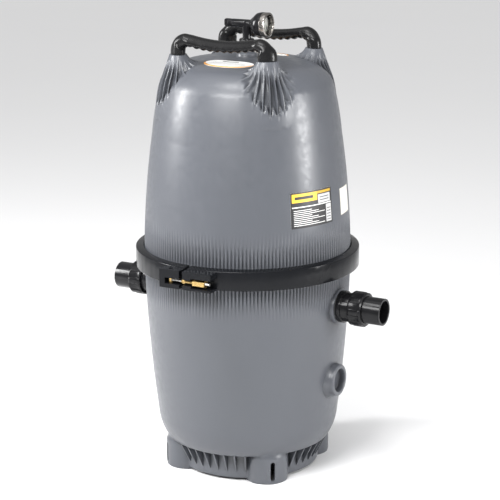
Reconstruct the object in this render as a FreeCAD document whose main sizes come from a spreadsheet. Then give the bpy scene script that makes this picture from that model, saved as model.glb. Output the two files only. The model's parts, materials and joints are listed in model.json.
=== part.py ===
"""Pool filter vessel: a two-piece moulded tank on four feet, closed by a clamp ring.

Frame: +Z up, origin on the floor under the tank axis, millimetres. The two pipe ports lie
on the X axis (inlet at -X, outlet at +X) and the clamp ring's latch is at -Y.
"""
import FreeCAD, Part
import math
import os
import Sketcher

Vector = FreeCAD.Vector
Rotation = FreeCAD.Rotation
Placement = FreeCAD.Placement

SIZES = {
    # tank shells
    "wall": 6.5,
    "skirt_radius": 195.5,
    "skirt_wall": 6.0,
    "skirt_low": 7.0,
    "floor_under": 64.0,
    "floor_top": 76.0,
    "base_radius": 227.0,
    "base_height": 72.0,
    "base_curve": 190.0,
    "turn_radius": 247.5,
    "turn_height": 140.0,
    "side_curve": 4140.0,
    "rim_radius": 281.5,
    "rim_bottom": 573.0,
    "flange_radius": 293.0,
    "flange_low": 578.0,
    "seam_low": 590.0,
    "seam_high": 590.6,
    "flange_high": 603.0,
    "rim_top": 608.0,
    "lid_curve": 2500.0,
    "waist_radius": 255.3,
    "waist_height": 930.0,
    "upper_curve": 870.0,
    "shoulder_radius": 232.0,
    "shoulder_height": 1062.0,
    "shoulder_curve": 95.0,
    "axis": 0.0,
    "dome_radius": 150.0,
    "dome_edge": 1120.0,
    "dome_curve": 1028.0,
    "dome_top": 1131.0,
    "neck_top": 1166.0,
    # feet, skirt fins and handle towers
    "foot_ring": 176.5,
    "foot_radius": 57.5,
    "foot_height": 96.0,
    "foot_wall": 7.0,
    "slot_radius": 6.5,
    "slot_low": 9.0,
    "slot_high": 63.0,
    "fin_low": 39.0,
    "fin_thick": 4.5,
    "tower_ring": 189.0,
    "tower_base": 1000.0,
    "tower_top": 1147.0,
    "tower_cap": 45.0,
    "tower_foot_radius": 46.0,
    "tower_top_radius": 21.0,
    # pipe ports
    "port_height": 476.0,
    "port_face": 285.0,
    "port_boss": 47.5,
    "port_hole": 36.2,
    "spare_height": 266.0,
    "spare_face": 283.5,
    "spare_boss": 43.5,
    "spare_recess": 32.0,
    "spare_depth": 18.0,
    "drain_height": 150.0,
    "drain_face": 256.0,
    "drain_boss": 38.0,
    "drain_hole": 24.2,
    # bulkhead and union
    "shank_radius": 36.0,
    "flow_bore": 26.0,
    "neck_radius": 39.5,
    "neck_end": 342.0,
    "nut_start": 322.0,
    "nut_end": 362.0,
    "nut_radius": 45.5,
    "nut_rib": 48.5,
    "tail_radius": 36.5,
    "tail_end": 412.0,
    "socket_radius": 30.25,
    "socket_depth": 38.0,
    "pipe_radius": 30.0,
    "pipe_seat": 125.0,
    "standpipe_run": 203.0,
    "gallery_low": 104.0,
    "thread_gap": 0.08,
    # clamp ring and latch
    "band_radius": 305.0,
    "band_low": 565.0,
    "band_high": 616.0,
    "band_lip": 283.6,
    "band_crown": 619.5,
    "band_seat": 294.0,
    "bolt_height": 585.0,
    "bolt_depth": 318.5,
    "lug_depth": 334.0,
    "pivot_offset": 54.0,
    "seat_reach": 69.0,
    "bolt_radius": 4.75,
    "pivot_radius": 6.0,
    "sleeve_radius": 6.5,
    "hex_across": 21.0,
    # handles
    "bar_radius": 15.0,
    "bar_height": 1186.0,
    "post_radius": 18.0,
    "elbow": 26.0,
    "screw_radius": 3.0,
    "screw_reach": 30.0,
    # gauge assembly
    "gauge_height": 1218.0,
    "gauge_radius": 33.0,
    "stem_radius": 11.0,
    # filter elements
    "element_offset": 95.0,
    "element_radius": 92.0,
    "element_core": 38.0,
    "element_low": 150.0,
    "element_high": 930.0,
}

document = FreeCAD.newDocument("FilterVessel")
sheet = document.addObject("Spreadsheet::Sheet", "Dims")
for row_number, (alias, value) in enumerate(SIZES.items(), start=1):
    cell = f"B{row_number}"
    sheet.set(f"A{row_number}", alias)
    sheet.set(cell, str(value))
    sheet.setAlias(cell, alias)
document.recompute()

NODES = []


def amount(text):
    """Number that a sum of sheet aliases and plain numbers stands for."""
    total = 0.0
    sign = 1.0
    for word in str(text).split():
        if word == "-":
            sign = -1.0
        elif word == "+":
            sign = 1.0
        else:
            total += sign * (SIZES[word] if word in SIZES else float(word))
    return total


def bound(text):
    """The same sum as an expression on the sheet."""
    return " ".join(f"Dims.{word}" if word in SIZES else word for word in str(text).split())


def bind(thing, path, text):
    """Give a property its value through an expression."""
    thing.setExpression(path, bound(text))


def node(thing, label):
    """Register an object as a sub-part that gets its own file."""
    thing.Label = label
    NODES.append(thing)
    return thing


def place(thing, x="0", y="0", z="0", rotation=None):
    """Put an object at a point bound to the sheet."""
    base = Vector(amount(x), amount(y), amount(z))
    thing.Placement = Placement(base, rotation or Rotation())
    bind(thing, "Placement.Base.x", x)
    bind(thing, "Placement.Base.y", y)
    bind(thing, "Placement.Base.z", z)
    return thing


def tower_centres():
    """Tower axes on the 45 degree lines, as text pairs."""
    reach = SIZES["tower_ring"] * math.sqrt(0.5)
    return [(str(x * reach), str(y * reach)) for x in (-1, 1) for y in (-1, 1)]


def new_body(name):
    return document.addObject("PartDesign::Body", name)


def plane_of(body, role):
    return next(plane for plane in body.Origin.OriginFeatures if plane.Role == role)


def new_sketch(body, name, role="XZ_Plane", offset="0", turn=0.0):
    """Sketch on an origin plane, moved along its normal and turned about its own y axis."""
    sketch = body.newObject("Sketcher::SketchObject", name)
    sketch.AttachmentSupport = [(plane_of(body, role), "")]
    sketch.MapMode = "FlatFace"
    sketch.AttachmentOffset = Placement(Vector(0, 0, amount(offset)), Rotation(Vector(0, 1, 0), turn))
    if turn == 0.0:
        bind(sketch, "AttachmentOffset.Base.z", offset)
    return sketch


def pin_point(sketch, geometry, end, x, y):
    """Hold one end of a segment at sheet-bound coordinates."""
    for kind, text in (("DistanceX", x), ("DistanceY", y)):
        number = sketch.addConstraint(Sketcher.Constraint(kind, -1, 1, geometry, end, amount(text)))
        bind(sketch, f"Constraints[{number}]", text)


def arc_between(start, end, radius, side):
    """Arc of a given radius that bulges to the left (side 1) or right (-1) of start to end."""
    chord = end - start
    middle = (start + end) * 0.5
    left = Vector(-chord.y, chord.x, 0).normalize()
    rise = radius - math.sqrt(radius ** 2 - (chord.Length / 2) ** 2)
    return Part.Arc(start, middle + left * (rise * side), end)


def outline(sketch, points):
    """Closed outline; a point with a third entry starts an arc of that radius and side."""
    corners = [Vector(amount(point[0]), amount(point[1]), 0) for point in points]
    ends = []
    for index, point in enumerate(points):
        start = corners[index]
        end = corners[(index + 1) % len(points)]
        if len(point) == 2:
            number = sketch.addGeometry(Part.LineSegment(start, end), False)
            ends.append((number, 1, 2))
            continue
        radius, side = point[2]
        number = sketch.addGeometry(arc_between(start, end, amount(radius), side), False)
        first = sketch.getPoint(number, 1)
        ordered = first.distanceToPoint(start) < first.distanceToPoint(end)
        ends.append((number, 1, 2) if ordered else (number, 2, 1))
    for index, point in enumerate(points):
        number, first, last = ends[index]
        following, follow_first, follow_last = ends[(index + 1) % len(points)]
        sketch.addConstraint(Sketcher.Constraint("Coincident", number, last, following, follow_first))
        pin_point(sketch, number, first, point[0], point[1])
        if len(point) == 3:
            size = sketch.addConstraint(Sketcher.Constraint("Radius", number, amount(point[2][0])))
            bind(sketch, f"Constraints[{size}]", point[2][0])
    return sketch


def circles(sketch, centres, radius):
    """Equal circles, each centre and radius bound to the sheet."""
    for x, y in centres:
        circle = Part.Circle(Vector(amount(x), amount(y), 0), Vector(0, 0, 1), amount(radius))
        number = sketch.addGeometry(circle, False)
        pin_point(sketch, number, 3, x, y)
        size = sketch.addConstraint(Sketcher.Constraint("Radius", number, amount(radius)))
        bind(sketch, f"Constraints[{size}]", radius)
    return sketch


def revolve(body, sketch, kind="Revolution", angle=360.0, midplane=False):
    feature = body.newObject(f"PartDesign::{kind}", f"{sketch.Name}_{kind}")
    feature.Profile = sketch
    feature.ReferenceAxis = (sketch, ["V_Axis"])
    feature.Angle = angle
    feature.Midplane = midplane
    return feature


def extrude(body, sketch, length, kind="Pad", midplane=False, reverse=False):
    feature = body.newObject(f"PartDesign::{kind}", f"{sketch.Name}_{kind}")
    feature.Profile = sketch
    bind(feature, "Length", length)
    feature.Midplane = midplane
    feature.Reversed = reverse
    return feature


def polar(body, feature, count, role="Z_Axis"):
    """Repeat a feature about one of the body's axes."""
    pattern = body.newObject("PartDesign::PolarPattern", f"{feature.Name}_pattern")
    pattern.Originals = [feature]
    axis = next(item for item in body.Origin.OriginFeatures if item.Role == role)
    pattern.Axis = (axis, [""])
    pattern.Angle = 360.0
    pattern.Occurrences = count
    body.Tip = pattern
    return pattern


ALONG_X = Rotation(Vector(0, 1, 0), 90)
ALONG_MINUS_X = Rotation(Vector(0, 1, 0), -90)
ALONG_Y = Rotation(Vector(1, 0, 0), -90)


def turned(label, points, x="0", y="0", z="0", rotation=None, angle=360.0):
    """Turned piece: an outline of (radius, height) points spun about its own axis."""
    body = new_body(label + "_body")
    revolve(body, outline(new_sketch(body, label + "_outline"), points), angle=angle)
    node(body, label)
    return place(body, x, y, z, rotation)


def tube(label, inner, outer, low, high, **where):
    points = [(inner, low), (outer, low), (outer, high), (inner, high)]
    return turned(label, points, **where)


def ribbed(body, label, ring, width, low, high, count):
    """Grip ribs round a turned piece."""
    half = amount(width) / 2
    sketch = new_sketch(body, label + "_rib", "XZ_Plane")
    inner = f"{ring} - 4"
    outline(sketch, [(inner, low), (ring, low), (ring, high), (inner, high)])
    rib = extrude(body, sketch, str(2 * half), midplane=True)
    return polar(body, rib, count)


# ---------------------------------------------------------------- tank shells
def make_lower_housing():
    body = new_body("lower_housing_body")
    revolve(body, outline(new_sketch(body, "lower_outer"), [
        ("0", "floor_under"),
        ("skirt_radius - skirt_wall", "floor_under"),
        ("skirt_radius - skirt_wall", "skirt_low"),
        ("skirt_radius", "skirt_low"),
        ("skirt_radius", "floor_under"),
        ("base_radius", "base_height", ("base_curve", -1)),
        ("turn_radius", "turn_height", ("side_curve", -1)),
        ("rim_radius", "rim_bottom"),
        ("flange_radius", "flange_low"),
        ("flange_radius", "seam_low"),
        ("0", "seam_low"),
    ]))
    reach = SIZES["foot_ring"] * math.sqrt(0.5)
    centres = [(str(x * reach), str(y * reach)) for x in (-1, 1) for y in (-1, 1)]
    extrude(body, circles(new_sketch(body, "feet", "XY_Plane"), centres, "foot_radius"), "foot_height")
    fin = new_sketch(body, "fin", turn=360.0 / 48 / 2)
    outline(fin, [
        ("skirt_radius - 1", "fin_low"),
        ("base_radius - 1", "base_height + 0.5"),
        ("skirt_radius - 1", "floor_under + 4"),
    ])
    polar(body, extrude(body, fin, "fin_thick", midplane=True), 48)
    ports = circles(new_sketch(body, "ports", "YZ_Plane"), [("0", "port_height")], "port_boss")
    extrude(body, ports, "port_face + port_face", midplane=True)
    spare = circles(new_sketch(body, "spare", "YZ_Plane"), [("0", "spare_height")], "spare_boss")
    extrude(body, spare, "spare_face")
    drain = circles(new_sketch(body, "drain", "XZ_Plane"), [("0", "drain_height")], "drain_boss")
    extrude(body, drain, "drain_face", reverse=True)
    revolve(body, outline(new_sketch(body, "lower_inner"), [
        ("0", "floor_top"),
        ("base_radius - 10", "floor_top", ("base_curve", -1)),
        ("turn_radius - wall", "turn_height", ("side_curve", -1)),
        ("rim_radius - wall", "rim_bottom"),
        ("rim_radius - wall", "seam_low + 1"),
        ("0", "seam_low + 1"),
    ]), "Groove")
    hollow = circles(new_sketch(body, "foot_hollows", "XY_Plane"), centres, "foot_radius - foot_wall")
    extrude(body, hollow, "floor_under", "Pocket", reverse=True)
    slot = new_sketch(body, "foot_slot", turn=-45.0)
    slot.AttachmentOffset = Placement(
        Rotation(Vector(0, 1, 0), -45.0).multVec(Vector(0, 0, -250)), Rotation(Vector(0, 1, 0), -45.0))
    outline(slot, [
        ("0 - slot_radius", "slot_low + slot_radius"),
        ("0 - slot_radius", "slot_high - slot_radius", ("slot_radius + 0.001", 1)),
        ("slot_radius", "slot_high - slot_radius"),
        ("slot_radius", "slot_low + slot_radius", ("slot_radius + 0.001", 1)),
    ])
    polar(body, extrude(body, slot, "40", "Pocket", reverse=True), 4)
    holes = circles(new_sketch(body, "port_holes", "YZ_Plane"), [("0", "port_height")], "port_hole")
    extrude(body, holes, "port_face + port_face + 2", "Pocket", midplane=True)
    recess = new_sketch(body, "spare_hole", "YZ_Plane", "spare_face - spare_depth")
    circles(recess, [("0", "spare_height")], "spare_recess")
    extrude(body, recess, "spare_depth + 1", "Pocket", reverse=True)
    outlet = circles(new_sketch(body, "drain_bore", "XZ_Plane"), [("0", "drain_height")], "drain_hole")
    extrude(body, outlet, "drain_face + 1", "Pocket")
    revolve(body, outline(new_sketch(body, "seal_groove"), [
        ("280.5", "seam_low - 6.2"),
        ("287.5", "seam_low - 6.2"),
        ("287.5", "seam_low + 1"),
        ("280.5", "seam_low + 1"),
    ]), "Groove")
    node(body, "lower_housing")


def tower_cone(body, kind, shrink, cap):
    """Four handle towers as cones on the 45 degree lines, grown or cut away."""
    cone = body.newObject(f"PartDesign::{kind}Cone", f"tower_{kind}")
    bind(cone, "Radius1", f"tower_foot_radius - {shrink}")
    bind(cone, "Radius2", f"tower_top_radius - {shrink}")
    bind(cone, "Height", f"tower_top - tower_base - {cap}")
    reach = SIZES["tower_ring"] * math.sqrt(0.5)
    cone.Placement = Placement(Vector(reach, reach, SIZES["tower_base"]), Rotation())
    return polar(body, cone, 4)


def make_upper_housing():
    body = new_body("upper_housing_body")
    revolve(body, outline(new_sketch(body, "upper_outer"), [
        ("0", "seam_high"),
        ("flange_radius", "seam_high"),
        ("flange_radius", "flange_high"),
        ("rim_radius", "rim_top", ("lid_curve", -1)),
        ("waist_radius", "waist_height", ("upper_curve", -1)),
        ("shoulder_radius", "shoulder_height", ("shoulder_curve", -1)),
        ("dome_radius", "dome_edge", ("dome_curve", -1)),
        ("0", "dome_top"),
    ]))
    tower_cone(body, "Additive", 0, 0)
    neck = new_sketch(body, "neck")
    outline(neck, [
        ("0", "dome_top - 4"),
        ("27", "dome_top - 4"),
        ("27", "dome_top + 9"),
        ("16", "dome_top + 12"),
        ("16", "neck_top"),
        ("14.2", "neck_top"),
        ("14.2", "neck_top - 2.6"),
        ("10.8", "neck_top - 2.6"),
        ("10.8", "neck_top"),
        ("0", "neck_top"),
    ])
    revolve(body, neck)
    revolve(body, outline(new_sketch(body, "upper_inner"), [
        ("0", "seam_high - 1"),
        ("rim_radius - wall", "seam_high - 1"),
        ("rim_radius - wall", "rim_top", ("lid_curve", -1)),
        ("waist_radius - wall", "waist_height", ("upper_curve", -1)),
        ("shoulder_radius - wall", "shoulder_height - 4", ("shoulder_curve", -1)),
        ("dome_radius - 4", "dome_edge - wall - 0.5", ("dome_curve", -1)),
        ("0", "dome_top - wall - 0.5"),
    ]), "Groove")
    tower_cone(body, "Subtractive", 8, "tower_cap")
    bore = circles(new_sketch(body, "neck_bore", "XY_Plane", "dome_top - 20"), [("0", "0")], "9")
    extrude(body, bore, "60", "Pocket", reverse=True)
    pilots = new_sketch(body, "screw_pilots", "XY_Plane", "tower_top - screw_reach")
    circles(pilots, tower_centres(), "screw_radius + 0.05")
    extrude(body, pilots, "screw_reach + 1", "Pocket", reverse=True)
    node(body, "upper_housing")


# ---------------------------------------------------------------- shared makers
def o_ring(label, radius, section, x="0", y="0", z="0", rotation=None):
    ring = document.addObject("Part::Torus", label + "_torus")
    bind(ring, "Radius1", radius)
    bind(ring, "Radius2", section)
    return node(place(ring, x, y, z, rotation), label)


def cylinder(name, radius, height, x="0", y="0", z="0", rotation=None):
    item = document.addObject("Part::Cylinder", name)
    bind(item, "Radius", radius)
    bind(item, "Height", height)
    return place(item, x, y, z, rotation)


def box(name, low, high):
    """Box between two corners, each a triple of sums on the sheet."""
    item = document.addObject("Part::Box", name)
    for side, start, end in zip(("Length", "Width", "Height"), low, high):
        bind(item, side, f"{end} - ( {start} )")
    return place(item, *low)


def fuse(name, items):
    joined = document.addObject("Part::MultiFuse", name)
    joined.Shapes = items
    return joined


def cut(name, base, tool):
    result = document.addObject("Part::Cut", name)
    result.Base = base
    result.Tool = tool
    return result


def group(label, items):
    """Separate solids kept together in one sub-part."""
    bunch = document.addObject("Part::Compound", label + "_group")
    bunch.Links = items
    return node(bunch, label)


def hex_nut(label, corner, bore, low, high, **where):
    """Six-sided nut between two heights on its own axis."""
    body = new_body(label + "_body")
    side = amount(corner)
    sketch = new_sketch(body, label + "_hexagon", "XY_Plane", low)
    turns = [math.radians(60 * step) for step in range(6)]
    outline(sketch, [(str(side * math.cos(turn)), str(side * math.sin(turn))) for turn in turns])
    extrude(body, sketch, f"{high} - {low}")
    hole = circles(new_sketch(body, label + "_bore", "XY_Plane", low), [("0", "0")], bore)
    extrude(body, hole, f"{high} - {low}", "Pocket", reverse=True)
    node(body, label)
    return place(body, **where)


def bent_pipe(label, outer, inner, start, path):
    """Round pipe that starts straight up from a level plane and follows a path in XZ."""
    body = new_body(label + "_body")
    line = new_sketch(body, label + "_path")
    for piece in path:
        line.addGeometry(piece, False)
    ends = new_sketch(body, label + "_section", "XY_Plane", start[1])
    circles(ends, [(start[0], "0")], outer)
    if inner:
        circles(ends, [(start[0], "0")], inner)
    pipe = body.newObject("PartDesign::AdditivePipe", label + "_pipe")
    pipe.Profile = ends
    pipe.Spine = line
    return body


def quarter(start, corner, end):
    """Quarter bend that leaves start towards corner and ends level or upright at end."""
    centre = start + end - corner
    middle = centre + (corner - centre).normalize() * (start - centre).Length
    return Part.Arc(start, middle, end)


# ---------------------------------------------------------------- pipe ports
def make_port(side, rotation):
    """Bulkhead fitting, its nut and seals, and the union outside it."""
    where = dict(z="port_height", rotation=rotation)
    turned(side + "_bulkhead_fitting", [
        ("pipe_radius + 0.1", "247"),
        ("shank_radius", "247"),
        ("shank_radius", "port_face + 2.5"),
        ("43.5", "port_face + 2.5"),
        ("43.5", "port_face + 15"),
        ("neck_radius", "port_face + 15"),
        ("neck_radius", "neck_end"),
        ("34", "neck_end"),
        ("34", "neck_end - 3"),
        ("29.5", "neck_end - 3"),
        ("29.5", "neck_end"),
        ("flow_bore", "neck_end"),
        ("flow_bore", "port_face"),
        ("pipe_radius + 0.1", "port_face"),
    ], **where)
    tube(side + "_bulkhead_gasket", "shank_radius + 0.1", "43", "port_face", "port_face + 2.5", **where)
    hex_nut(side + "_bulkhead_nut", "45", "shank_radius + thread_gap", "252", "266", **where)
    reach = "neck_end - 1.4" if side == "outlet" else "1.4 - neck_end"
    o_ring(side + "_union_o_ring", "31.75", "1.6", x=reach, z="port_height", rotation=rotation)
    turned(side + "_tailpiece", [
        ("flow_bore", "neck_end + 0.3"),
        ("39.2", "neck_end + 0.3"),
        ("39.2", "nut_end - 8.3"),
        ("tail_radius", "nut_end - 8.3"),
        ("tail_radius", "tail_end"),
        ("socket_radius", "tail_end"),
        ("socket_radius", "tail_end - socket_depth"),
        ("flow_bore", "tail_end - socket_depth"),
    ], **where)
    nut = turned(side + "_union_nut", [
        ("neck_radius + thread_gap", "nut_start"),
        ("nut_radius", "nut_start"),
        ("nut_radius", "nut_end"),
        ("tail_radius + 0.2", "nut_end"),
        ("tail_radius + 0.2", "nut_end - 8"),
        ("neck_radius + thread_gap", "nut_end - 8"),
    ], **where)
    ribbed(nut, side + "_nut", "nut_rib", "14", "nut_start + 3", "nut_end - 3", 8)


def make_inner_pipes():
    """Standpipe from the lower manifold to the outlet, and the inlet's upturned elbow."""
    level = SIZES["port_height"]
    run = SIZES["standpipe_run"]
    bend = 45.0
    foot = Vector(run, SIZES["pipe_seat"] + 0.5, 0)
    turn_low = Vector(run, level - bend, 0)
    turn_high = Vector(run + bend, level, 0)
    mouth = Vector(SIZES["port_face"] - 2, level, 0)
    path = [
        Part.LineSegment(foot, turn_low),
        quarter(turn_low, Vector(run, level, 0), turn_high),
        Part.LineSegment(turn_high, mouth),
    ]
    node(bent_pipe("outlet_standpipe", "pipe_radius", "pipe_radius - 4", (str(run), "pipe_seat + 0.5"), path),
         "outlet_standpipe")
    top = Vector(-run, level + 2 * bend, 0)
    turn_top = Vector(-run, level + bend, 0)
    turn_side = Vector(-run - bend, level, 0)
    mouth = Vector(2 - SIZES["port_face"], level, 0)
    path = [
        Part.LineSegment(top, turn_top),
        quarter(turn_top, Vector(-run, level, 0), turn_side),
        Part.LineSegment(turn_side, mouth),
    ]
    node(bent_pipe("inlet_diffuser", "pipe_radius", "pipe_radius - 4",
                   (str(-run), f"port_height + {2 * bend}"), path), "inlet_diffuser")


def make_drain():
    where = dict(z="drain_height", rotation=ALONG_Y)
    turned("drain_fitting", [
        ("19", "216"),
        ("24", "216"),
        ("24", "drain_face + 2"),
        ("34", "drain_face + 2"),
        ("34", "drain_face + 10"),
        ("24", "drain_face + 10"),
        ("24", "304"),
        ("19", "304"),
    ], **where)
    tube("drain_gasket", "24.1", "33", "drain_face", "drain_face + 2", **where)
    hex_nut("drain_nut", "34", "24 + thread_gap", "219", "231", **where)
    tube("drain_cap_seal", "19", "23.5", "304.2", "306.9", **where)
    cap = turned("drain_cap", [
        ("0", "307.2"),
        ("24 + thread_gap", "307.2"),
        ("24 + thread_gap", "278"),
        ("31", "278"),
        ("31", "314"),
        ("12", "314"),
        ("12", "325"),
        ("0", "325"),
    ], **where)
    ribbed(cap, "cap", "34", "8", "280", "312", 8)


# ---------------------------------------------------------------- filter elements
def make_manifolds():
    corners = [(x, y) for x in ("element_offset", "0 - element_offset")
               for y in ("element_offset", "0 - element_offset")]
    outer = [cylinder("gallery", "172", "32", z="gallery_low"),
             cylinder("pipe_sump", "26", "pipe_seat - gallery_low", x="standpipe_run", z="gallery_low"),
             cylinder("pipe_boss", "33", "27.5", x="standpipe_run", z="pipe_seat - 2.5"),
             box("pipe_arm", ("100", "-34", "gallery_low"), ("standpipe_run", "34", "gallery_low + 32"))]
    inner = [cylinder("gallery_void", "166", "24", z="gallery_low + 4"),
             cylinder("pipe_void", "22", "pipe_seat - gallery_low - 4", x="standpipe_run", z="gallery_low + 4"),
             cylinder("pipe_socket", "pipe_radius + 0.1", "40", x="standpipe_run", z="pipe_seat"),
             box("arm_void", ("100", "-22", "gallery_low + 4"), ("standpipe_run", "22", "pipe_seat"))]
    for number, (x, y) in enumerate(corners):
        outer.append(cylinder(f"spigot_{number}", "34", "56", x=x, y=y, z="gallery_low"))
        outer.append(cylinder(f"leg_{number}", "14", "32", x=x, y=y, z="floor_top"))
        inner.append(cylinder(f"spigot_bore_{number}", "28", "60", x=x, y=y, z="gallery_low + 6"))
    lower = cut("bottom_manifold_cut", fuse("manifold_outside", outer), fuse("manifold_inside", inner))
    node(lower, "bottom_manifold")
    arms = [cylinder("hub", "25", "14", z="943.2")]
    for number, (x, y) in enumerate(corners):
        arms.append(cylinder(f"cover_{number}", "58", "7", x=x, y=y, z="943.2"))
        arms.append(cylinder(f"plug_{number}", "34", "23.2", x=x, y=y, z="920"))
    for number, turn in enumerate((45, 135)):
        bar = box(f"bar_{number}", ("-134", "-12", "943.2"), ("134", "12", "957.2"))
        bar.Placement = Placement(Rotation(Vector(0, 0, 1), turn).multVec(Vector(-134, -12, 0))
                                  + Vector(0, 0, 943.2), Rotation(Vector(0, 0, 1), turn))
        for axis in ("x", "y", "z"):
            bar.setExpression(f"Placement.Base.{axis}", None)
        arms.append(bar)
    node(cut("top_manifold_cut", fuse("spider", arms), cylinder("hub_bore", "8.1", "60", z="930")),
         "top_manifold")
    tube("breather_tube", "5", "8", "140", "1090")
    turned("breather_screen", [
        ("8.1", "1078"), ("13", "1078"), ("13", "1108"), ("0", "1108"), ("0", "1104"), ("10", "1104"),
        ("10", "1090.5"), ("8.1", "1090.5"),
    ])


def make_elements():
    """Four pleated elements, each with two end caps, and their perforated cores."""
    cores = []
    for number, turn in enumerate((45, 135, 225, 315), start=1):
        x = "element_offset" if turn in (45, 315) else "0 - element_offset"
        y = "element_offset" if turn in (45, 135) else "0 - element_offset"
        name = f"element_{number}"
        tube(name + "_media", "element_core + 4", "element_radius", "element_low + 2",
             "element_high - 2", x=x, y=y)
        outside = cylinder(name + "_core_tube", "element_core + 3.5", "element_high - element_low - 4",
                           x, y, "element_low + 2")
        inside = cylinder(name + "_core_bore", "element_core", "element_high - element_low - 4",
                          x, y, "element_low + 2")
        cores.append(cut(name + "_core", outside, inside))
        caps = [
            cut(f"{name}_cap_{end}", cylinder(f"{name}_disc_{end}", "element_radius + 1", "14.8", x, y, z),
                cylinder(f"{name}_hole_{end}", "34.1", "14.8", x, y, z))
            for end, z in (("low", "element_low - 13"), ("high", "element_high - 1.8"))
        ]
        group(name + "_end_caps", caps)
    group("element_cores", cores)


# ---------------------------------------------------------------- clamp ring
def make_clamp():
    turned("clamp_band", [
        ("band_lip", "band_low"),
        ("band_radius", "band_low"),
        ("band_radius", "band_high"),
        ("286", "band_crown"),
        ("band_lip", "band_crown"),
        ("band_lip", "rim_top - 0.3"),
        ("band_seat", "flange_high + 0.2"),
        ("band_seat", "flange_low - 0.2"),
        ("band_lip", "rim_bottom + 0.3"),
    ], rotation=Rotation(Vector(0, 0, 1), -92.44), angle=358.69)
    ring = dict(x="0", y="0", z="band_low - 5")
    pivot = dict(x="0 - pivot_offset", y="0 - bolt_depth")
    low, high = "band_low + 1", "band_high - 1"
    anchor_tools = fuse("anchor_tools", [
        cylinder("anchor_ring", "band_radius + 0.2", "62", **ring),
        box("anchor_channel", ("-64", "-340", "577.3"), ("-20", "-300", "592.7")),
        cylinder("pivot_bore", "pivot_radius + 0.05", "60", z="571", **pivot),
    ])
    block = box("anchor_block", ("-80", "0 - lug_depth", low), ("-21", "-290", high))
    node(cut("anchor_lug_cut", block, anchor_tools), "clamp_lug_anchor")
    seat = cut("seat_pocket", box("nut_pocket", ("8", "-340", "572"), ("80", "-290", "598")),
               cylinder("seat_curve", "seat_reach", "60", z="560", **pivot))
    slot_tools = fuse("slot_tools", [
        cylinder("slotted_ring", "band_radius + 0.2", "62", **ring),
        box("sleeve_slot", ("-13", "-340", "577.3"), ("20", "-300", "592.7")),
        seat,
    ])
    block = box("slotted_block", ("-12", "0 - lug_depth", low), ("72", "-290", high))
    node(cut("slotted_lug_cut", block, slot_tools), "clamp_lug_slotted")
    bolt = dict(x="0 - pivot_offset", y="0 - bolt_depth", z="bolt_height", rotation=ALONG_X)
    cross = cylinder("trunnion_cross_hole", "bolt_radius + 0.03", "40", x="-80", y="0 - bolt_depth",
                     z="bolt_height", rotation=ALONG_X)
    node(cut("trunnion_cut", cylinder("trunnion_pin", "pivot_radius", "38.8", z="571.2", **pivot), cross),
         "clamp_trunnion")
    turned("clamp_bolt", [("0", "-5"), ("bolt_radius", "-5"), ("bolt_radius", "115"), ("3.6", "117"),
                          ("0", "117")], **bolt)
    turned("clamp_sleeve", [
        ("bolt_radius + thread_gap", "36"), ("7.2", "36"), ("7.2", "40"), ("sleeve_radius", "40"),
        ("sleeve_radius", "seat_reach"), ("bolt_radius + thread_gap", "seat_reach"),
    ], **bolt)
    hex_nut("clamp_nut", str(SIZES["hex_across"] / math.sqrt(3)), "bolt_radius + thread_gap",
            "seat_reach + 0.3", "seat_reach + 35", **bolt)


# ---------------------------------------------------------------- handles
def make_handle(label, sign):
    """Round bar bent down at both ends, on a flared foot over each tower."""
    reach = SIZES["tower_ring"] * math.sqrt(0.5)
    foot = SIZES["tower_top"]
    level = SIZES["bar_height"]
    bend = SIZES["elbow"]
    corners = [Vector(-reach, level, 0), Vector(reach, level, 0)]
    left_low, left_high = Vector(-reach, level - bend, 0), Vector(bend - reach, level, 0)
    right_high, right_low = Vector(reach - bend, level, 0), Vector(reach, level - bend, 0)
    path = [
        Part.LineSegment(Vector(-reach, foot, 0), left_low),
        quarter(left_low, corners[0], left_high),
        Part.LineSegment(left_high, right_high),
        quarter(right_high, corners[1], right_low),
        Part.LineSegment(right_low, Vector(reach, foot, 0)),
    ]
    body = bent_pipe(label, "bar_radius", None, (str(-reach), "tower_top"), path)
    for name, x in (("left", -reach), ("right", reach)):
        cone = body.newObject("PartDesign::AdditiveCone", f"{label}_{name}_foot")
        bind(cone, "Radius1", "post_radius + 1")
        bind(cone, "Radius2", "bar_radius")
        bind(cone, "Height", "18")
        cone.Placement = Placement(Vector(x, 0, foot), Rotation())
    places = [(str(-reach), "0"), (str(reach), "0")]
    holes = circles(new_sketch(body, label + "_holes", "XY_Plane", "tower_top"), places,
                    "screw_radius + 0.2")
    extrude(body, holes, "80", "Pocket", reverse=True)
    sinks = circles(new_sketch(body, label + "_sinks", "XY_Plane", "tower_top + 22"), places, "7")
    extrude(body, sinks, "60", "Pocket", reverse=True)
    node(body, label)
    place(body, y=str(sign * reach))


def make_handle_screws():
    """Four screws, one down each handle foot into its tower."""
    screws = []
    for number, (x, y) in enumerate(tower_centres()):
        shank = cylinder(f"screw_shank_{number}", "screw_radius", "screw_reach + 21", x, y,
                         "tower_top - screw_reach + 1")
        head = cylinder(f"screw_head_{number}", "6.5", "4.5", x, y, "tower_top + 22")
        screws.append(fuse(f"screw_{number}", [shank, head]))
    group("handle_screws", screws)


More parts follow.
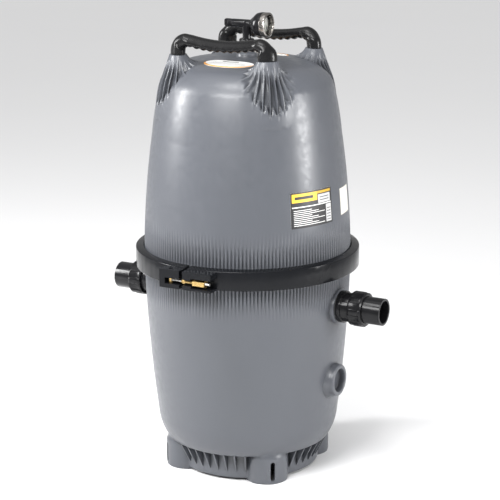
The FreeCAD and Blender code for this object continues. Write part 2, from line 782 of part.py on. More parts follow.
# ---------------------------------------------------------------- gauge assembly
def make_gauge():
    level = dict(z="gauge_height", rotation=ALONG_X)
    body = new_body("gauge_adapter_body")
    revolve(body, outline(new_sketch(body, "adapter_stem"), [
        ("4", "neck_top + 0.5"),
        ("15.6", "neck_top + 0.5"),
        ("15.6", "neck_top + 8.5"),
        ("stem_radius", "neck_top + 8.5"),
        ("stem_radius", "gauge_height + 8"),
        ("0", "gauge_height + 8"),
        ("0", "gauge_height"),
        ("4", "gauge_height"),
    ]))
    barrel = circles(new_sketch(body, "adapter_barrel", "YZ_Plane", "-40"), [("0", "gauge_height")],
                     "stem_radius")
    extrude(body, barrel, "54")
    valve = circles(new_sketch(body, "valve_bore", "YZ_Plane", "-41"), [("0", "gauge_height")], "8.03")
    extrude(body, valve, "29", "Pocket", reverse=True)
    bore = circles(new_sketch(body, "gauge_bore", "YZ_Plane", "-12.5"), [("0", "gauge_height")], "3.5")
    extrude(body, bore, "17", "Pocket", reverse=True)
    socket = circles(new_sketch(body, "gauge_socket", "YZ_Plane", "4"), [("0", "gauge_height")], "6.05")
    extrude(body, socket, "11", "Pocket", reverse=True)
    node(body, "gauge_adapter")
    o_ring("gauge_adapter_o_ring", "12.5", "1.4", z="neck_top - 1.1")
    nut = turned("gauge_collar_nut", [
        ("16 + thread_gap", "neck_top - 17"),
        ("19", "neck_top - 17"),
        ("19", "neck_top + 13"),
        ("stem_radius + 0.3", "neck_top + 13"),
        ("stem_radius + 0.3", "neck_top + 8.8"),
        ("16 + thread_gap", "neck_top + 8.8"),
    ])
    ribbed(nut, "collar", "20.5", "5", "neck_top - 15", "neck_top + 11", 10)
    turned("gauge_case", [
        ("0", "5"),
        ("6", "5"),
        ("6", "14.2"),
        ("13", "14.2"),
        ("gauge_radius - 3", "34", ("60", -1)),
        ("gauge_radius", "48"),
        ("gauge_radius", "52"),
        ("30.5", "52"),
        ("30.5", "58"),
        ("28.5", "58"),
        ("28.5", "47"),
        ("1.5", "47"),
        ("1.5", "43"),
        ("0", "43"),
    ], **level)
    tube("gauge_dial", "1.5", "28.4", "47.1", "48", **level)
    needle = turned("gauge_needle", [
        ("0", "43.5"), ("1.45", "43.5"), ("1.45", "48.4"), ("3.5", "48.4"), ("3.5", "50.6"), ("0", "50.6"),
    ], **level)
    pointer = new_sketch(needle, "pointer", "XY_Plane", "49")
    tip, tail, half = 22.0, 7.0, 1.1
    diagonal = math.sqrt(0.5)
    ends = [(tip, 0), (0, half), (-tail, half), (-tail, -half), (0, -half)]
    outline(pointer, [(str((u + v) * diagonal), str((v - u) * diagonal)) for u, v in reversed(ends)])
    extrude(needle, pointer, "0.8")
    turned("gauge_lens", [("0", "55.8"), ("28.4", "55.8"), ("28.4", "57.6"), ("0", "57.6")], **level)
    turned("gauge_bezel", [
        ("30.55", "52.2"),
        ("gauge_radius", "52.2"),
        ("gauge_radius", "66"),
        ("28", "68"),
        ("26", "64"),
        ("26", "58.3"),
        ("30.55", "58.3"),
    ], **level)
    valve = dict(z="gauge_height", rotation=ALONG_MINUS_X)
    turned("air_release_seal", [("0", "12.3"), ("7.9", "12.3"), ("7.9", "13.8"), ("0", "13.8")], **valve)
    knob = turned("air_release_knob", [
        ("0", "14"), ("7.97", "14"), ("7.97", "40.3"), ("10.5", "40.3"), ("10.5", "52"), ("8", "55"),
        ("0", "55"),
    ], **valve)
    wing = new_sketch(knob, "knob_wing", "XZ_Plane")
    outline(wing, [("-10.5", "50"), ("10.5", "50"), ("10.5", "62"), ("7", "66"), ("-7", "66"),
                   ("-10.5", "62")])
    extrude(knob, wing, "7", midplane=True)


# ---------------------------------------------------------------- labels
def arc_centre(low, high, curve):
    """Centre of the outward arc between two (radius, height) points of the shell."""
    start = Vector(SIZES[low[0]], SIZES[low[1]], 0)
    end = Vector(SIZES[high[0]], SIZES[high[1]], 0)
    return arc_between(start, end, SIZES[curve], -1).toShape().Curve.Center


def make_side_label(label, low, high, start, span):
    """Thin label on the lid's side, between two heights, from an angle about +Z."""
    centre = arc_centre(("rim_radius", "rim_top"), ("waist_radius", "waist_height"), "lid_curve")
    curve = SIZES["lid_curve"]
    radii = [centre.x + math.sqrt(curve ** 2 - (height - centre.y) ** 2) for height in (low, high)]
    turned(label, [
        (str(radii[0] + 0.3), str(low), ("lid_curve", -1)),
        (str(radii[1] + 0.3), str(high)),
        (str(radii[1] + 1.1), str(high), ("lid_curve", 1)),
        (str(radii[0] + 1.1), str(low)),
    ], rotation=Rotation(Vector(0, 0, 1), start), angle=span)


def make_dome_label(label, start, span):
    """Thin warning label on the dome, between two radii."""
    centre = arc_centre(("dome_radius", "dome_edge"), ("axis", "dome_top"), "dome_curve")
    curve = SIZES["dome_curve"]
    near, far = 78.0, 142.0
    heights = [centre.y + math.sqrt(curve ** 2 - (radius - centre.x) ** 2) for radius in (near, far)]
    turned(label, [
        (str(near), str(heights[0] + 1.1)),
        (str(near), str(heights[0] + 0.3), ("dome_curve", 1)),
        (str(far), str(heights[1] + 0.3)),
        (str(far), str(heights[1] + 1.1), ("dome_curve", -1)),
    ], rotation=Rotation(Vector(0, 0, 1), start), angle=span)


def check_and_write():
    """Stop on any failed feature, then write one file for each sub-part."""
    document.recompute()
    for thing in document.Objects:
        if "Invalid" in thing.State or "Error" in thing.State:
            raise RuntimeError(f"{thing.Label} failed: {thing.State}")
    os.makedirs("parts", exist_ok=True)
    for thing in NODES:
        shape = thing.Shape
        if shape.isNull() or not shape.isValid() or not shape.Solids:
            raise RuntimeError(f"{thing.Label} has no valid solid")
        shape.exportStep(f"parts/{thing.Label}.step")
        print(thing.Label, len(shape.Solids), round(shape.Volume))


make_lower_housing()
make_upper_housing()
o_ring("tank_o_ring", "284", "3.1", z="seam_low - 2.9")
make_port("inlet", ALONG_MINUS_X)
make_port("outlet", ALONG_X)
make_inner_pipes()
make_drain()
make_manifolds()
make_elements()
make_clamp()
make_handle("handle_front", -1)
make_handle("handle_rear", 1)
make_handle_screws()
make_gauge()
make_side_label("spec_label", 717.0, 811.0, -37.3, 29.8)
make_side_label("data_label", 724.0, 795.0, 2.5, 13.5)
make_dome_label("warning_label_front", -128.0, 76.0)
make_dome_label("warning_label_rear", 52.0, 76.0)
check_and_write()
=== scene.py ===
"""Looks for the pool filter vessel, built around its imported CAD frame.

Shapes are worked out in millimetres in the row frame and written to Blender in metres.
"""

import json
import math

import bmesh
import bpy
import numpy as np
from mathutils import Matrix, Vector


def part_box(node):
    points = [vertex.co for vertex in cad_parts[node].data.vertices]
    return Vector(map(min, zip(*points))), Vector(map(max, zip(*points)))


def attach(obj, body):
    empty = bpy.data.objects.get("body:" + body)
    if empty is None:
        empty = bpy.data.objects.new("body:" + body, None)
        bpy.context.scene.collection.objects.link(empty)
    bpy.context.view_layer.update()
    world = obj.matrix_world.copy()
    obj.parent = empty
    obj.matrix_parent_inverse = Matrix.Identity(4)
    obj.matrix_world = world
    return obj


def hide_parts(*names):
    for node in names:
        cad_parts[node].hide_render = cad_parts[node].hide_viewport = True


MM = 0.001

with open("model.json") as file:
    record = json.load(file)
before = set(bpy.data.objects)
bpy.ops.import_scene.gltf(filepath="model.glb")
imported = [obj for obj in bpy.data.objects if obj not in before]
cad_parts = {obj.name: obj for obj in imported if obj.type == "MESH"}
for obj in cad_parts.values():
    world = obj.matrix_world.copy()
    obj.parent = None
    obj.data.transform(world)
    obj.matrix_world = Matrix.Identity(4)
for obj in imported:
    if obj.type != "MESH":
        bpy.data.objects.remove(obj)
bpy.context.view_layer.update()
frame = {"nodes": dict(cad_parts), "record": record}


def lowest(node, axis):
    """The lowest coordinate of a CAD node at rest, in millimetres."""
    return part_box(node)[0][axis] / MM


def highest(node, axis):
    """The highest coordinate of a CAD node at rest, in millimetres."""
    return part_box(node)[1][axis] / MM


def middle(node, axis):
    """The middle of a CAD node at rest, in millimetres."""
    return (lowest(node, axis) + highest(node, axis)) / 2


# ------------------------------------------------------------------ sizes, in millimetres
WALL = 6.5
SKIRT_LOW = 7.0
SKIRT_SHOULDER = 67.0
SKIRT_RADIUS = 195.5
BASE_EDGE = (224.0, 80.0)
BASE_CURVE = 134.0
TURN = (247.5, 140.0)
SIDE_CURVE = 4140.0
LOWER_RIM = (281.5, 573.0)
SEAM_LOW = highest("lower_housing", 2)
SEAM_HIGH = lowest("upper_housing", 2)
FLANGE_RADIUS = highest("upper_housing", 0)
UPPER_RIM = (281.5, 608.0)
LID_CURVE = 2500.0
WAIST = (255.3, 930.0)
UPPER_CURVE = 870.0
SHOULDER = (232.0, 1062.0)
SHOULDER_CURVE = 95.0
DOME = (150.0, 1120.0)
DOME_CURVE = 1028.0
DOME_TOP = 1131.0
NECK_TOP = highest("upper_housing", 2)

FLUTES = 180
FLUTE_DEPTH = 4.6
GROOVE = (1.0, 0.62, 0.1, 0.0, 0.1, 0.62)
LID_FLUTES = (612.0, 712.0)
TANK_FLUTES = (470.0, 566.0)
FINE = FLUTES * len(GROOVE)
COARSE = FLUTES * 2
HIDDEN = FLUTES

TOWER_RING = 189.0
TOWER_REACH = TOWER_RING * math.sqrt(0.5)
TOWER_TOP = 1147.0
TOWER_CORE = 1055.0
TOWER_ZONE = 97.0
TOWER_FILLET = (26.0, 12.0)
TOWER_CAP = 21.6
CAP_MARGIN = 0.015
CAP_CENTRE = 12.0
PLEATS = 18
PLEAT_SINK = (5.0, 5.5)
PLEAT_RISE = (0.8, 0.9)
OVAL = 0.27
OVAL_START = 1075.0
OVAL_RISE = 65.0
OVAL_REACH = 26.0
OVAL_FADE = 34.0

FOOT_RING = 176.5
FOOT_RADIUS = 57.5
FOOT_WALL = 7.0
SLOT_HALF = 6.5
SLOT_LOW = 9.0
SLOT_HIGH = 63.0
FOOT_SHOULDER = 68.0
FOOT_DOME = 34.0
FOOT_FILLET = 7.0
HOLLOW_FILLET = 5.0
EDGE_ROUND = 1.6
FOOT_HALF_ANGLE = math.radians(17.0)
FIN_COUNT = 48
FIN_THICK = 4.5
FIN_LOW = 26.0

PORT_HEIGHT = middle("outlet_tailpiece", 2)
PORT_FACE = 285.0
SPARE_HEIGHT = 266.0
SPARE_FACE = 283.5
DRAIN_HEIGHT = middle("drain_cap", 2)
DRAIN_FACE = 256.0


# ------------------------------------------------------------------ materials
class Paint:
    """A procedural material with one Principled shader, built socket by socket."""

    def __init__(self, name, colour, roughness, metallic=0.0):
        self.material = bpy.data.materials.new(name)
        self.material.use_nodes = True
        self.nodes = self.material.node_tree.nodes
        self.links = self.material.node_tree.links
        self.shader = self.nodes["Principled BSDF"]
        self.colour = colour
        self.set("Base Color", (*colour, 1.0))
        self.set("Roughness", roughness)
        self.set("Metallic", metallic)
        self.place = self.nodes.new("ShaderNodeTexCoord").outputs["Object"]

    def set(self, socket, value):
        self.shader.inputs[socket].default_value = value

    def noise(self, scale, detail=3.0, stretch=None):
        """Noise with scale features per metre, stretched along an axis if asked."""
        texture = self.nodes.new("ShaderNodeTexNoise")
        texture.inputs["Scale"].default_value = scale
        texture.inputs["Detail"].default_value = detail
        source = self.place
        if stretch:
            mapping = self.nodes.new("ShaderNodeMapping")
            mapping.inputs["Scale"].default_value = stretch
            self.links.new(source, mapping.inputs["Vector"])
            source = mapping.outputs["Vector"]
        self.links.new(source, texture.inputs["Vector"])
        return texture.outputs["Fac"]

    def ramp(self, source, low, high, start=0.3, end=0.7):
        """source mapped to the range low..high."""
        spread = self.nodes.new("ShaderNodeMapRange")
        spread.inputs["From Min"].default_value = start
        spread.inputs["From Max"].default_value = end
        spread.inputs["To Min"].default_value = low
        spread.inputs["To Max"].default_value = high
        self.links.new(source, spread.inputs["Value"])
        return spread.outputs["Result"]

    def tint(self, source, dark, light):
        """Base colour between two multiples of the paint's own colour."""
        mix = self.nodes.new("ShaderNodeMix")
        mix.data_type = "RGBA"
        mix.inputs[6].default_value = (*[c * dark for c in self.colour], 1.0)
        mix.inputs[7].default_value = (*[min(1.0, c * light) for c in self.colour], 1.0)
        self.links.new(self.ramp(source, 0.0, 1.0), mix.inputs["Factor"])
        self.links.new(mix.outputs[2], self.shader.inputs["Base Color"])

    def rough(self, source, low, high):
        self.links.new(self.ramp(source, low, high), self.shader.inputs["Roughness"])

    def bump(self, source, depth):
        """Surface relief of depth metres."""
        bump = self.nodes.new("ShaderNodeBump")
        bump.inputs["Strength"].default_value = 1.0
        bump.inputs["Distance"].default_value = depth
        self.links.new(source, bump.inputs["Height"])
        normal = self.shader.inputs["Normal"]
        if normal.links:
            self.links.new(normal.links[0].from_socket, bump.inputs["Normal"])
        self.links.new(bump.outputs["Normal"], normal)

    def paint_crease_shade(self, low):
        """Painted shade: multiplies the base colour by ambient occlusion, so grooves and inner corners come
        out darker.
        """
        nearby = self.nodes.new("ShaderNodeAmbientOcclusion")
        nearby.samples = 6
        nearby.only_local = True
        nearby.inputs["Distance"].default_value = 0.014
        mix = self.nodes.new("ShaderNodeMix")
        mix.data_type = "RGBA"
        mix.blend_type = "MULTIPLY"
        mix.inputs["Factor"].default_value = 1.0
        base = self.shader.inputs["Base Color"]
        self.links.new(base.links[0].from_socket, mix.inputs[6])
        # painted shade: occlusion mapped to a darkening factor on the base colour
        self.links.new(self.ramp(nearby.outputs["AO"], low, 1.0, 0.35, 0.97), mix.inputs[7])
        self.links.new(mix.outputs[2], base)


def moulded(name, colour, roughness, grain, relief, mottle):
    """Moulded plastic: fine grain, slow colour drift and uneven gloss."""
    paint = Paint(name, colour, roughness)
    paint.tint(paint.noise(9.0, 4.0, (1.0, 1.0, 0.45)), 1.0 - mottle, 1.0 + mottle)
    paint.rough(paint.noise(60.0, 5.0), roughness - 0.05, roughness + 0.07)
    paint.bump(paint.noise(grain, 2.0), relief)
    paint.bump(paint.noise(34.0, 2.0), relief * 1.5)
    return paint


def metal(name, colour, roughness, brush=(1.0, 1.0, 40.0), relief=0.00002):
    """Machined or drawn metal with fine lines."""
    paint = Paint(name, colour, roughness, 1.0)
    paint.tint(paint.noise(55.0, 4.0), 0.82, 1.1)
    paint.rough(paint.noise(420.0, 3.0, brush), roughness - 0.06, roughness + 0.12)
    paint.bump(paint.noise(700.0, 2.0, brush), relief)
    return paint


GLOSS = {"grey_housing": 0.5, "black_plastic": 0.2, "clamp_black": 0.16, "handle_black": 0.24}


def make_materials():
    """One material for each of the record's slots, by slot name, and one for the handles."""
    made = {
        "grey_housing": moulded("grey_moulded", (0.078, 0.083, 0.095), 0.34, 900.0, 0.000008, 0.03),
        "black_plastic": moulded("black_moulded", (0.008, 0.008, 0.009), 0.16, 1300.0, 0.000006, 0.2),
        "clamp_black": moulded("clamp_coat", (0.007, 0.0075, 0.009), 0.17, 1500.0, 0.000003, 0.2),
        "black_rubber": moulded("rubber", (0.02, 0.02, 0.02), 0.72, 1200.0, 0.0001, 0.2),
        "brass": metal("brass", (0.62, 0.43, 0.17), 0.28),
        "steel": metal("steel", (0.58, 0.57, 0.54), 0.27),
        "white_plastic": moulded("white_moulded", (0.72, 0.72, 0.69), 0.42, 1100.0, 0.00005, 0.04),
        "filter_media": moulded("pleated_fabric", (0.56, 0.57, 0.55), 0.85, 2600.0, 0.0002, 0.05),
        "element_blue": moulded("potting_blue", (0.075, 0.16, 0.36), 0.4, 900.0, 0.00006, 0.1),
        "chrome": metal("chrome", (0.34, 0.32, 0.3), 0.14, (1.0, 1.0, 1.0), 0.000005),
        "dial_face": moulded("dial_print", (0.82, 0.8, 0.75), 0.5, 1500.0, 0.00002, 0.03),
        "needle_black": moulded("needle_paint", (0.02, 0.02, 0.02), 0.45, 1500.0, 0.00002, 0.1),
        "label_film": moulded("label_film", (0.78, 0.77, 0.72), 0.38, 1500.0, 0.00002, 0.03),
    }
    # Painted shade in the grey housing's flutes, pleats and inner corners, from ambient occlusion.
    made["grey_housing"].paint_crease_shade(0.42)
    made["handle_black"] = moulded("handle_moulded", (0.0065, 0.0065, 0.007), 0.25, 700.0, 0.00001, 0.15)
    for slot, gloss in GLOSS.items():
        made[slot].set("Specular IOR Level", gloss)
    lens = Paint("lens_glass", (0.97, 0.98, 0.98), 0.03)
    lens.set("Transmission Weight", 1.0)
    lens.set("IOR", 1.49)
    lens.rough(lens.noise(40.0), 0.02, 0.05)
    made["clear_lens"] = lens
    return {slot: paint.material for slot, paint in made.items()}


MATERIALS = make_materials()


def ink(name, colour):
    """Printed ink on a label or dial."""
    return moulded(name, colour, 0.4, 1500.0, 0.00002, 0.05).material


# ------------------------------------------------------------------ shape building
class Shape:
    """Points and faces of one piece, gathered row by row, in millimetres."""

    def __init__(self):
        self.points = []
        self.faces = []
        self.inks = []
        self.count = 0

    def row(self, points):
        """Adds a row of points and gives their numbers."""
        points = np.atleast_2d(np.asarray(points, float))
        self.points.append(points)
        self.count += len(points)
        return np.arange(self.count - len(points), self.count)

    def add(self, faces, ink_index=0):
        """Adds faces with the number of their material."""
        self.faces.extend(faces)
        self.inks.extend([ink_index] * len(faces))

    def join(self, a, b, closed=True):
        """Faces between two rows of points; a row of one point makes a fan."""
        if len(a) < len(b):
            a, b = b, a
        if len(a) == len(b):
            ends = (np.roll(a, -1), np.roll(b, -1)) if closed else (a[1:], b[1:])
            count = len(ends[0])
            self.add(np.stack([a[:count], ends[0], ends[1], b[:count]], 1).tolist())
            return
        if len(b) == 1:
            after = np.roll(a, -1) if closed else a[1:]
            self.add([[int(p), int(q), int(b[0])] for p, q in zip(a, after)])
            return
        self.add(self.zipped(a, b))

    @staticmethod
    def zipped(a, b):
        """Triangles between two closed rows with different numbers of points."""
        made = []
        i = j = 0
        while i < len(a) or j < len(b):
            take_a = j >= len(b) or (i < len(a) and (i + 0.5) / len(a) <= (j + 0.5) / len(b))
            here_a, here_b = int(a[i % len(a)]), int(b[j % len(b)])
            if take_a:
                i += 1
                made.append([here_a, int(a[i % len(a)]), here_b])
            else:
                j += 1
                made.append([here_a, int(b[j % len(b)]), here_b])
        return made

    def chain(self, rows, loop=False, closed=True):
        """Faces between each row and the next, and back to the first if it loops."""
        for a, b in zip(rows, rows[1:] + rows[:1] if loop else rows[1:]):
            self.join(a, b, closed)

    def merge(self, other, turn=0.0):
        """Adds another shape's points and faces, turned about Z by an angle in degrees."""
        c, s = math.cos(math.radians(turn)), math.sin(math.radians(turn))
        turned = np.concatenate(other.points) @ np.array([[c, s, 0], [-s, c, 0], [0, 0, 1]])
        first = self.count
        self.row(turned)
        self.faces.extend([[p + first for p in face] for face in other.faces])
        self.inks.extend(other.inks)

    def mesh(self, name, materials, edge):
        """A Blender mesh in metres, smooth except where faces meet at more than edge degrees."""
        mesh = bpy.data.meshes.new(name)
        mesh.from_pydata((np.concatenate(self.points) * MM).tolist(), [], self.faces)
        for material in materials:
            mesh.materials.append(material)
        mesh.polygons.foreach_set("material_index", self.inks)
        outward = bmesh.new()
        outward.from_mesh(mesh)
        bmesh.ops.remove_doubles(outward, verts=outward.verts, dist=0.00002)
        bmesh.ops.recalc_face_normals(outward, faces=outward.faces)
        outward.to_mesh(mesh)
        outward.free()
        mesh.shade_smooth()
        mesh.set_sharp_from_angle(angle=math.radians(edge))
        return mesh

    def piece(self, name, body, slot, nodes, edge, materials=None):
        """Makes the Blender object, rides it on its body and hides the nodes it stands for."""
        made = bpy.data.objects.new(name, self.mesh(name, materials or [MATERIALS[slot]], edge))
        bpy.context.scene.collection.objects.link(made)
        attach(made, body)
        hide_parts(*nodes)
        return made


def arc(start, end, radius, step):
    """Points on the outward arc from one (radius, height) point to another, the end left out."""
    a, b = np.array(start, float), np.array(end, float)
    chord = b - a
    length = np.linalg.norm(chord)
    inward = np.array([-chord[1], chord[0]]) / length
    centre = (a + b) / 2 + inward * math.sqrt(radius ** 2 - length ** 2 / 4)
    first = math.atan2(*(a - centre)[::-1])
    last = math.atan2(*(b - centre)[::-1])
    count = max(2, round(length / step))
    angles = first + (last - first) * np.arange(count) / count
    return [tuple(centre + radius * np.array([math.cos(t), math.sin(t)])) for t in angles]


def circle(count, radius, height):
    """Points round the Z axis; radius and height may be arrays."""
    angles = 2 * math.pi * np.arange(count) / count
    return np.stack([radius * np.cos(angles), radius * np.sin(angles), np.full(count, 1.0) * height], 1)


def placed(points, matrix):
    """Points carried by a 4x4 matrix in millimetres."""
    m = np.array(matrix)
    return points @ m[:3, :3].T + m[:3, 3]


def axis_frame(origin, direction):
    """Matrix whose local Z is direction, from an origin in millimetres."""
    turn = Vector(direction).to_track_quat("Z", "Y").to_matrix().to_4x4()
    return Matrix.Translation(Vector(origin)) @ turn


def lathe(shape, outline, matrix, steps):
    """Spins (radius, height) points about local Z; the outline closes unless it starts on the axis."""
    rows = []
    for radius, height in outline:
        ring = circle(steps, radius, height) if radius > 0 else np.array([[0.0, 0.0, height]])
        rows.append(shape.row(placed(ring, matrix)))
    shape.chain(rows, loop=outline[0][0] > 0)


def smooth(value):
    """Ease from 0 to 1."""
    value = np.clip(value, 0.0, 1.0)
    return value * value * (3 - 2 * value)


# ------------------------------------------------------------------ tank shells
def lid_outline(step):
    """The lid's outer (radius, height) line from the clamp rim to the dome's middle."""
    line = arc(UPPER_RIM, WAIST, LID_CURVE, step)
    line += arc(WAIST, SHOULDER, UPPER_CURVE, step)
    line += arc(SHOULDER, DOME, SHOULDER_CURVE, step)
    line += arc(DOME, (0.0, DOME_TOP), DOME_CURVE, step)
    return line


def side_distance(radius, height, line):
    """Signed distance from (radius, height) points to a line that runs upwards; inside is negative."""
    points = np.stack([radius, height], -1)[:, None, :]
    line = np.array(line, float)
    a, b = line[:-1][None], line[1:][None]
    along = b - a
    share = np.clip(((points - a) * along).sum(-1) / (along ** 2).sum(-1), 0, 1)
    gap = points - (a + share[..., None] * along)
    distance = np.sqrt((gap ** 2).sum(-1))
    nearest = distance.argmin(1)
    rows = np.arange(len(nearest))
    step = along[0][nearest]
    offset = gap[rows, nearest]
    side = step[:, 1] * offset[:, 0] - step[:, 0] * offset[:, 1]
    return distance[rows, nearest] * np.sign(side)


def blend_union(a, b, width):
    """Union of two signed distances with a fillet of about that width."""
    overlap = np.maximum(width - np.abs(a - b), 0.0) / width
    return np.minimum(a, b) - overlap ** 2 * width / 4


LID_STEP = 6.0
BODY_LINE = lid_outline(LID_STEP) + [(0.0, DOME_TOP)]
TOWER_LINE = [(58.0, 900.0), (58.0, 985.0), (56.8, 1010.0), (52.2, 1046.0), (45.5, 1077.0),
              (23.4, 1142.0), (TOWER_CAP, TOWER_TOP), (0.0, TOWER_TOP)]
RAY_END = 190.0
RAY_HALVINGS = 22


def tower_field(points, away):
    """Signed distance to the lid with one tower; away is the angle from the outward line."""
    body = side_distance(np.hypot(points[:, 0], points[:, 1]), points[:, 2], BODY_LINE)
    reach = np.hypot(points[:, 0] - TOWER_RING, points[:, 1])
    tower = side_distance(reach, points[:, 2], TOWER_LINE)
    return blend_union(body, tower, TOWER_FILLET[0] - TOWER_FILLET[1] * np.cos(away))


def ray_hits(away, lean):
    """Distances from the tower's core to the lid's surface along rays leaning from +Z."""
    heading = np.stack([np.sin(lean) * np.cos(away), np.sin(lean) * np.sin(away), np.cos(lean)], 1)
    core = np.array([TOWER_RING, 0.0, TOWER_CORE])
    near, distant = np.full(len(away), 5.0), np.full(len(away), RAY_END)
    for _ in range(RAY_HALVINGS):
        halfway = (near + distant) / 2
        inside = tower_field(core + heading * halfway[:, None], away) < 0
        near = np.where(inside, halfway, near)
        distant = np.where(inside, distant, halfway)
    return near, heading


def zone_edge(away):
    """How far a ray leans where the lid's surface leaves the tower's zone."""
    leans = np.radians(np.arange(30.0, 158.0, 2.0))
    grid_away = np.repeat(away, len(leans))
    reach, _ = ray_hits(grid_away, np.tile(leans, len(away)))
    reach = reach.reshape(len(away), -1)
    edges = []
    for row in reach:
        inside = np.nonzero(row < TOWER_ZONE)[0][-1]
        inside = min(inside, len(leans) - 2)
        share = (TOWER_ZONE - row[inside]) / (row[inside + 1] - row[inside])
        edges.append(leans[inside] + np.clip(share, 0, 1) * (leans[inside + 1] - leans[inside]))
    return np.array(edges)


PLEAT_OFFSETS = (0.0, 0.9, 1.6, 2.2, 2.9)
PLEAT_CREST = (1.0, 0.96, 0.72, 0.28, 0.0)
PLEAT_DEPTH = (0.0, 0.0, 0.22, 0.7, 0.96)
FLOOR_SHARES = (0.22, 0.5, 0.78)
TOWER_SHARES = np.linspace(0.0, 1.0, 46) ** 0.9


def pleat_columns(reach):
    """Angles, crest and floor weights and floor shares across the pleats at a distance from the axis."""
    pitch = 2 * math.pi / PLEATS
    side = np.array(PLEAT_OFFSETS) / max(reach, 21.0)
    side = side * min(1.0, 0.36 * pitch / side[-1])
    floor_start = side[-1]
    floor = floor_start + (pitch - 2 * floor_start) * np.array(FLOOR_SHARES)
    offsets = np.concatenate([side, floor, pitch - side[:0:-1]])
    crest = np.concatenate([PLEAT_CREST, [0.0] * len(FLOOR_SHARES), PLEAT_CREST[:0:-1]])
    depth = np.concatenate([PLEAT_DEPTH, [1.0] * len(FLOOR_SHARES), PLEAT_DEPTH[:0:-1]])
    across = np.concatenate([[0.0] * len(side), FLOOR_SHARES, [1.0] * (len(side) - 1)])
    starts = pitch * (np.arange(PLEATS)[:, None] + 0.5)
    away = (starts + offsets[None, :]).ravel()
    return away, np.tile(crest, PLEATS), np.tile(depth, PLEATS), np.tile(across, PLEATS)


def tower_patch():
    """One pleated handle tower on the +X side, from its cap to its edge on the lid."""
    first_lean = math.atan2(TOWER_CAP, TOWER_TOP - TOWER_CORE) + CAP_MARGIN
    core = np.array([TOWER_RING, 0.0, TOWER_CORE])
    away = pleat_columns(40.0)[0]
    last_lean = zone_edge(away)
    leans = [first_lean + (last_lean - first_lean) * share for share in TOWER_SHARES]
    plain, reach_from_axis = [], []
    for lean in leans:
        reach, heading = ray_hits(away, lean)
        plain.append(core + heading * reach[:, None])
        reach_from_axis.append(float(np.median(reach * np.sin(lean))))
    steps = np.linalg.norm(np.diff(np.array(plain), axis=0), axis=2)
    travelled = np.vstack([np.zeros(len(away)), np.cumsum(steps, axis=0)])
    shape = Shape()
    made = [shape.row([[TOWER_RING, 0.0, TOWER_TOP]])]
    made.append(shape.row([[TOWER_RING + CAP_CENTRE * math.cos(a), CAP_CENTRE * math.sin(a), TOWER_TOP]
                           for a in away]))
    for lean, from_axis, gone in zip(leans, reach_from_axis, travelled):
        near_away, crest, depth, across = pleat_columns(from_axis)
        rise, sink = pleat_relief(near_away, across, gone)
        reach, heading = ray_hits(near_away, lean)
        reach = reach + rise * crest - sink * depth
        made.append(shape.row(core + heading * reach[:, None]))
    for ring in shape.points:
        from_axis = np.hypot(ring[:, 0] - TOWER_RING, ring[:, 1])
        near_top = smooth((ring[:, 2] - OVAL_START) / OVAL_RISE)
        near_top *= 1 - smooth((from_axis - OVAL_REACH) / OVAL_FADE)
        ring[:, 1] *= 1 + OVAL * near_top
    shape.chain(made)
    return shape


def pleat_relief(away, across, gone):
    """Heights of the crests and depths of the floors at the distance gone down the tower."""
    outward = (1 + np.cos(away)) / 2
    length = 40.0 + 86.0 * outward ** 2
    floor_end = length + 15.0 * (2 * across - 1) ** 2 * outward
    crest_end = length + 20.0 + 14.0 * outward
    grow = smooth((gone - 9.0) / 42.0)
    sink = (PLEAT_SINK[0] + PLEAT_SINK[1] * outward) * grow * (1 - smooth((gone - floor_end + 7.0) / 8.0))
    rise = (PLEAT_RISE[0] + PLEAT_RISE[1] * outward) * grow * (1 - smooth((gone - crest_end + 34.0) / 34.0))
    return rise, sink


def fluted(height, limits, near_rim):
    """Radius change round a shell row: narrow grooves that fade away from the rim."""
    low, high = limits
    share = (height - low) / (high - low)
    fade = smooth(1 - share) ** 0.7 if near_rim == "low" else smooth(share) ** 0.7
    start = smooth((height - low) / 5.0) if near_rim == "low" else smooth((high - height) / 5.0)
    return -FLUTE_DEPTH * fade * start * np.tile(GROOVE, FLUTES)


def shell_rows(shape, line, flutes, near_rim):
    """Rows of points up a shell, fine where it is fluted and coarse elsewhere."""
    rows = []
    for radius, height in line:
        if flutes[0] - 2 <= height <= flutes[1] + 2:
            ring = circle(FINE, radius + fluted(height, flutes, near_rim), height)
        else:
            ring = circle(COARSE, radius, height)
        rows.append(shape.row(ring))
    return rows


def cut_zone(points, faces):
    """Leaves out the faces that reach into a tower's zone."""
    core = np.array([TOWER_REACH, TOWER_REACH, TOWER_CORE])
    folded = np.abs(points) * [1, 1, 0] + points * [0, 0, 1]
    inside = np.linalg.norm(folded - core, axis=1) < TOWER_ZONE + 1.5
    return [face for face in faces if not any(inside[p] for p in face)]


LID_EDGE = 50.0


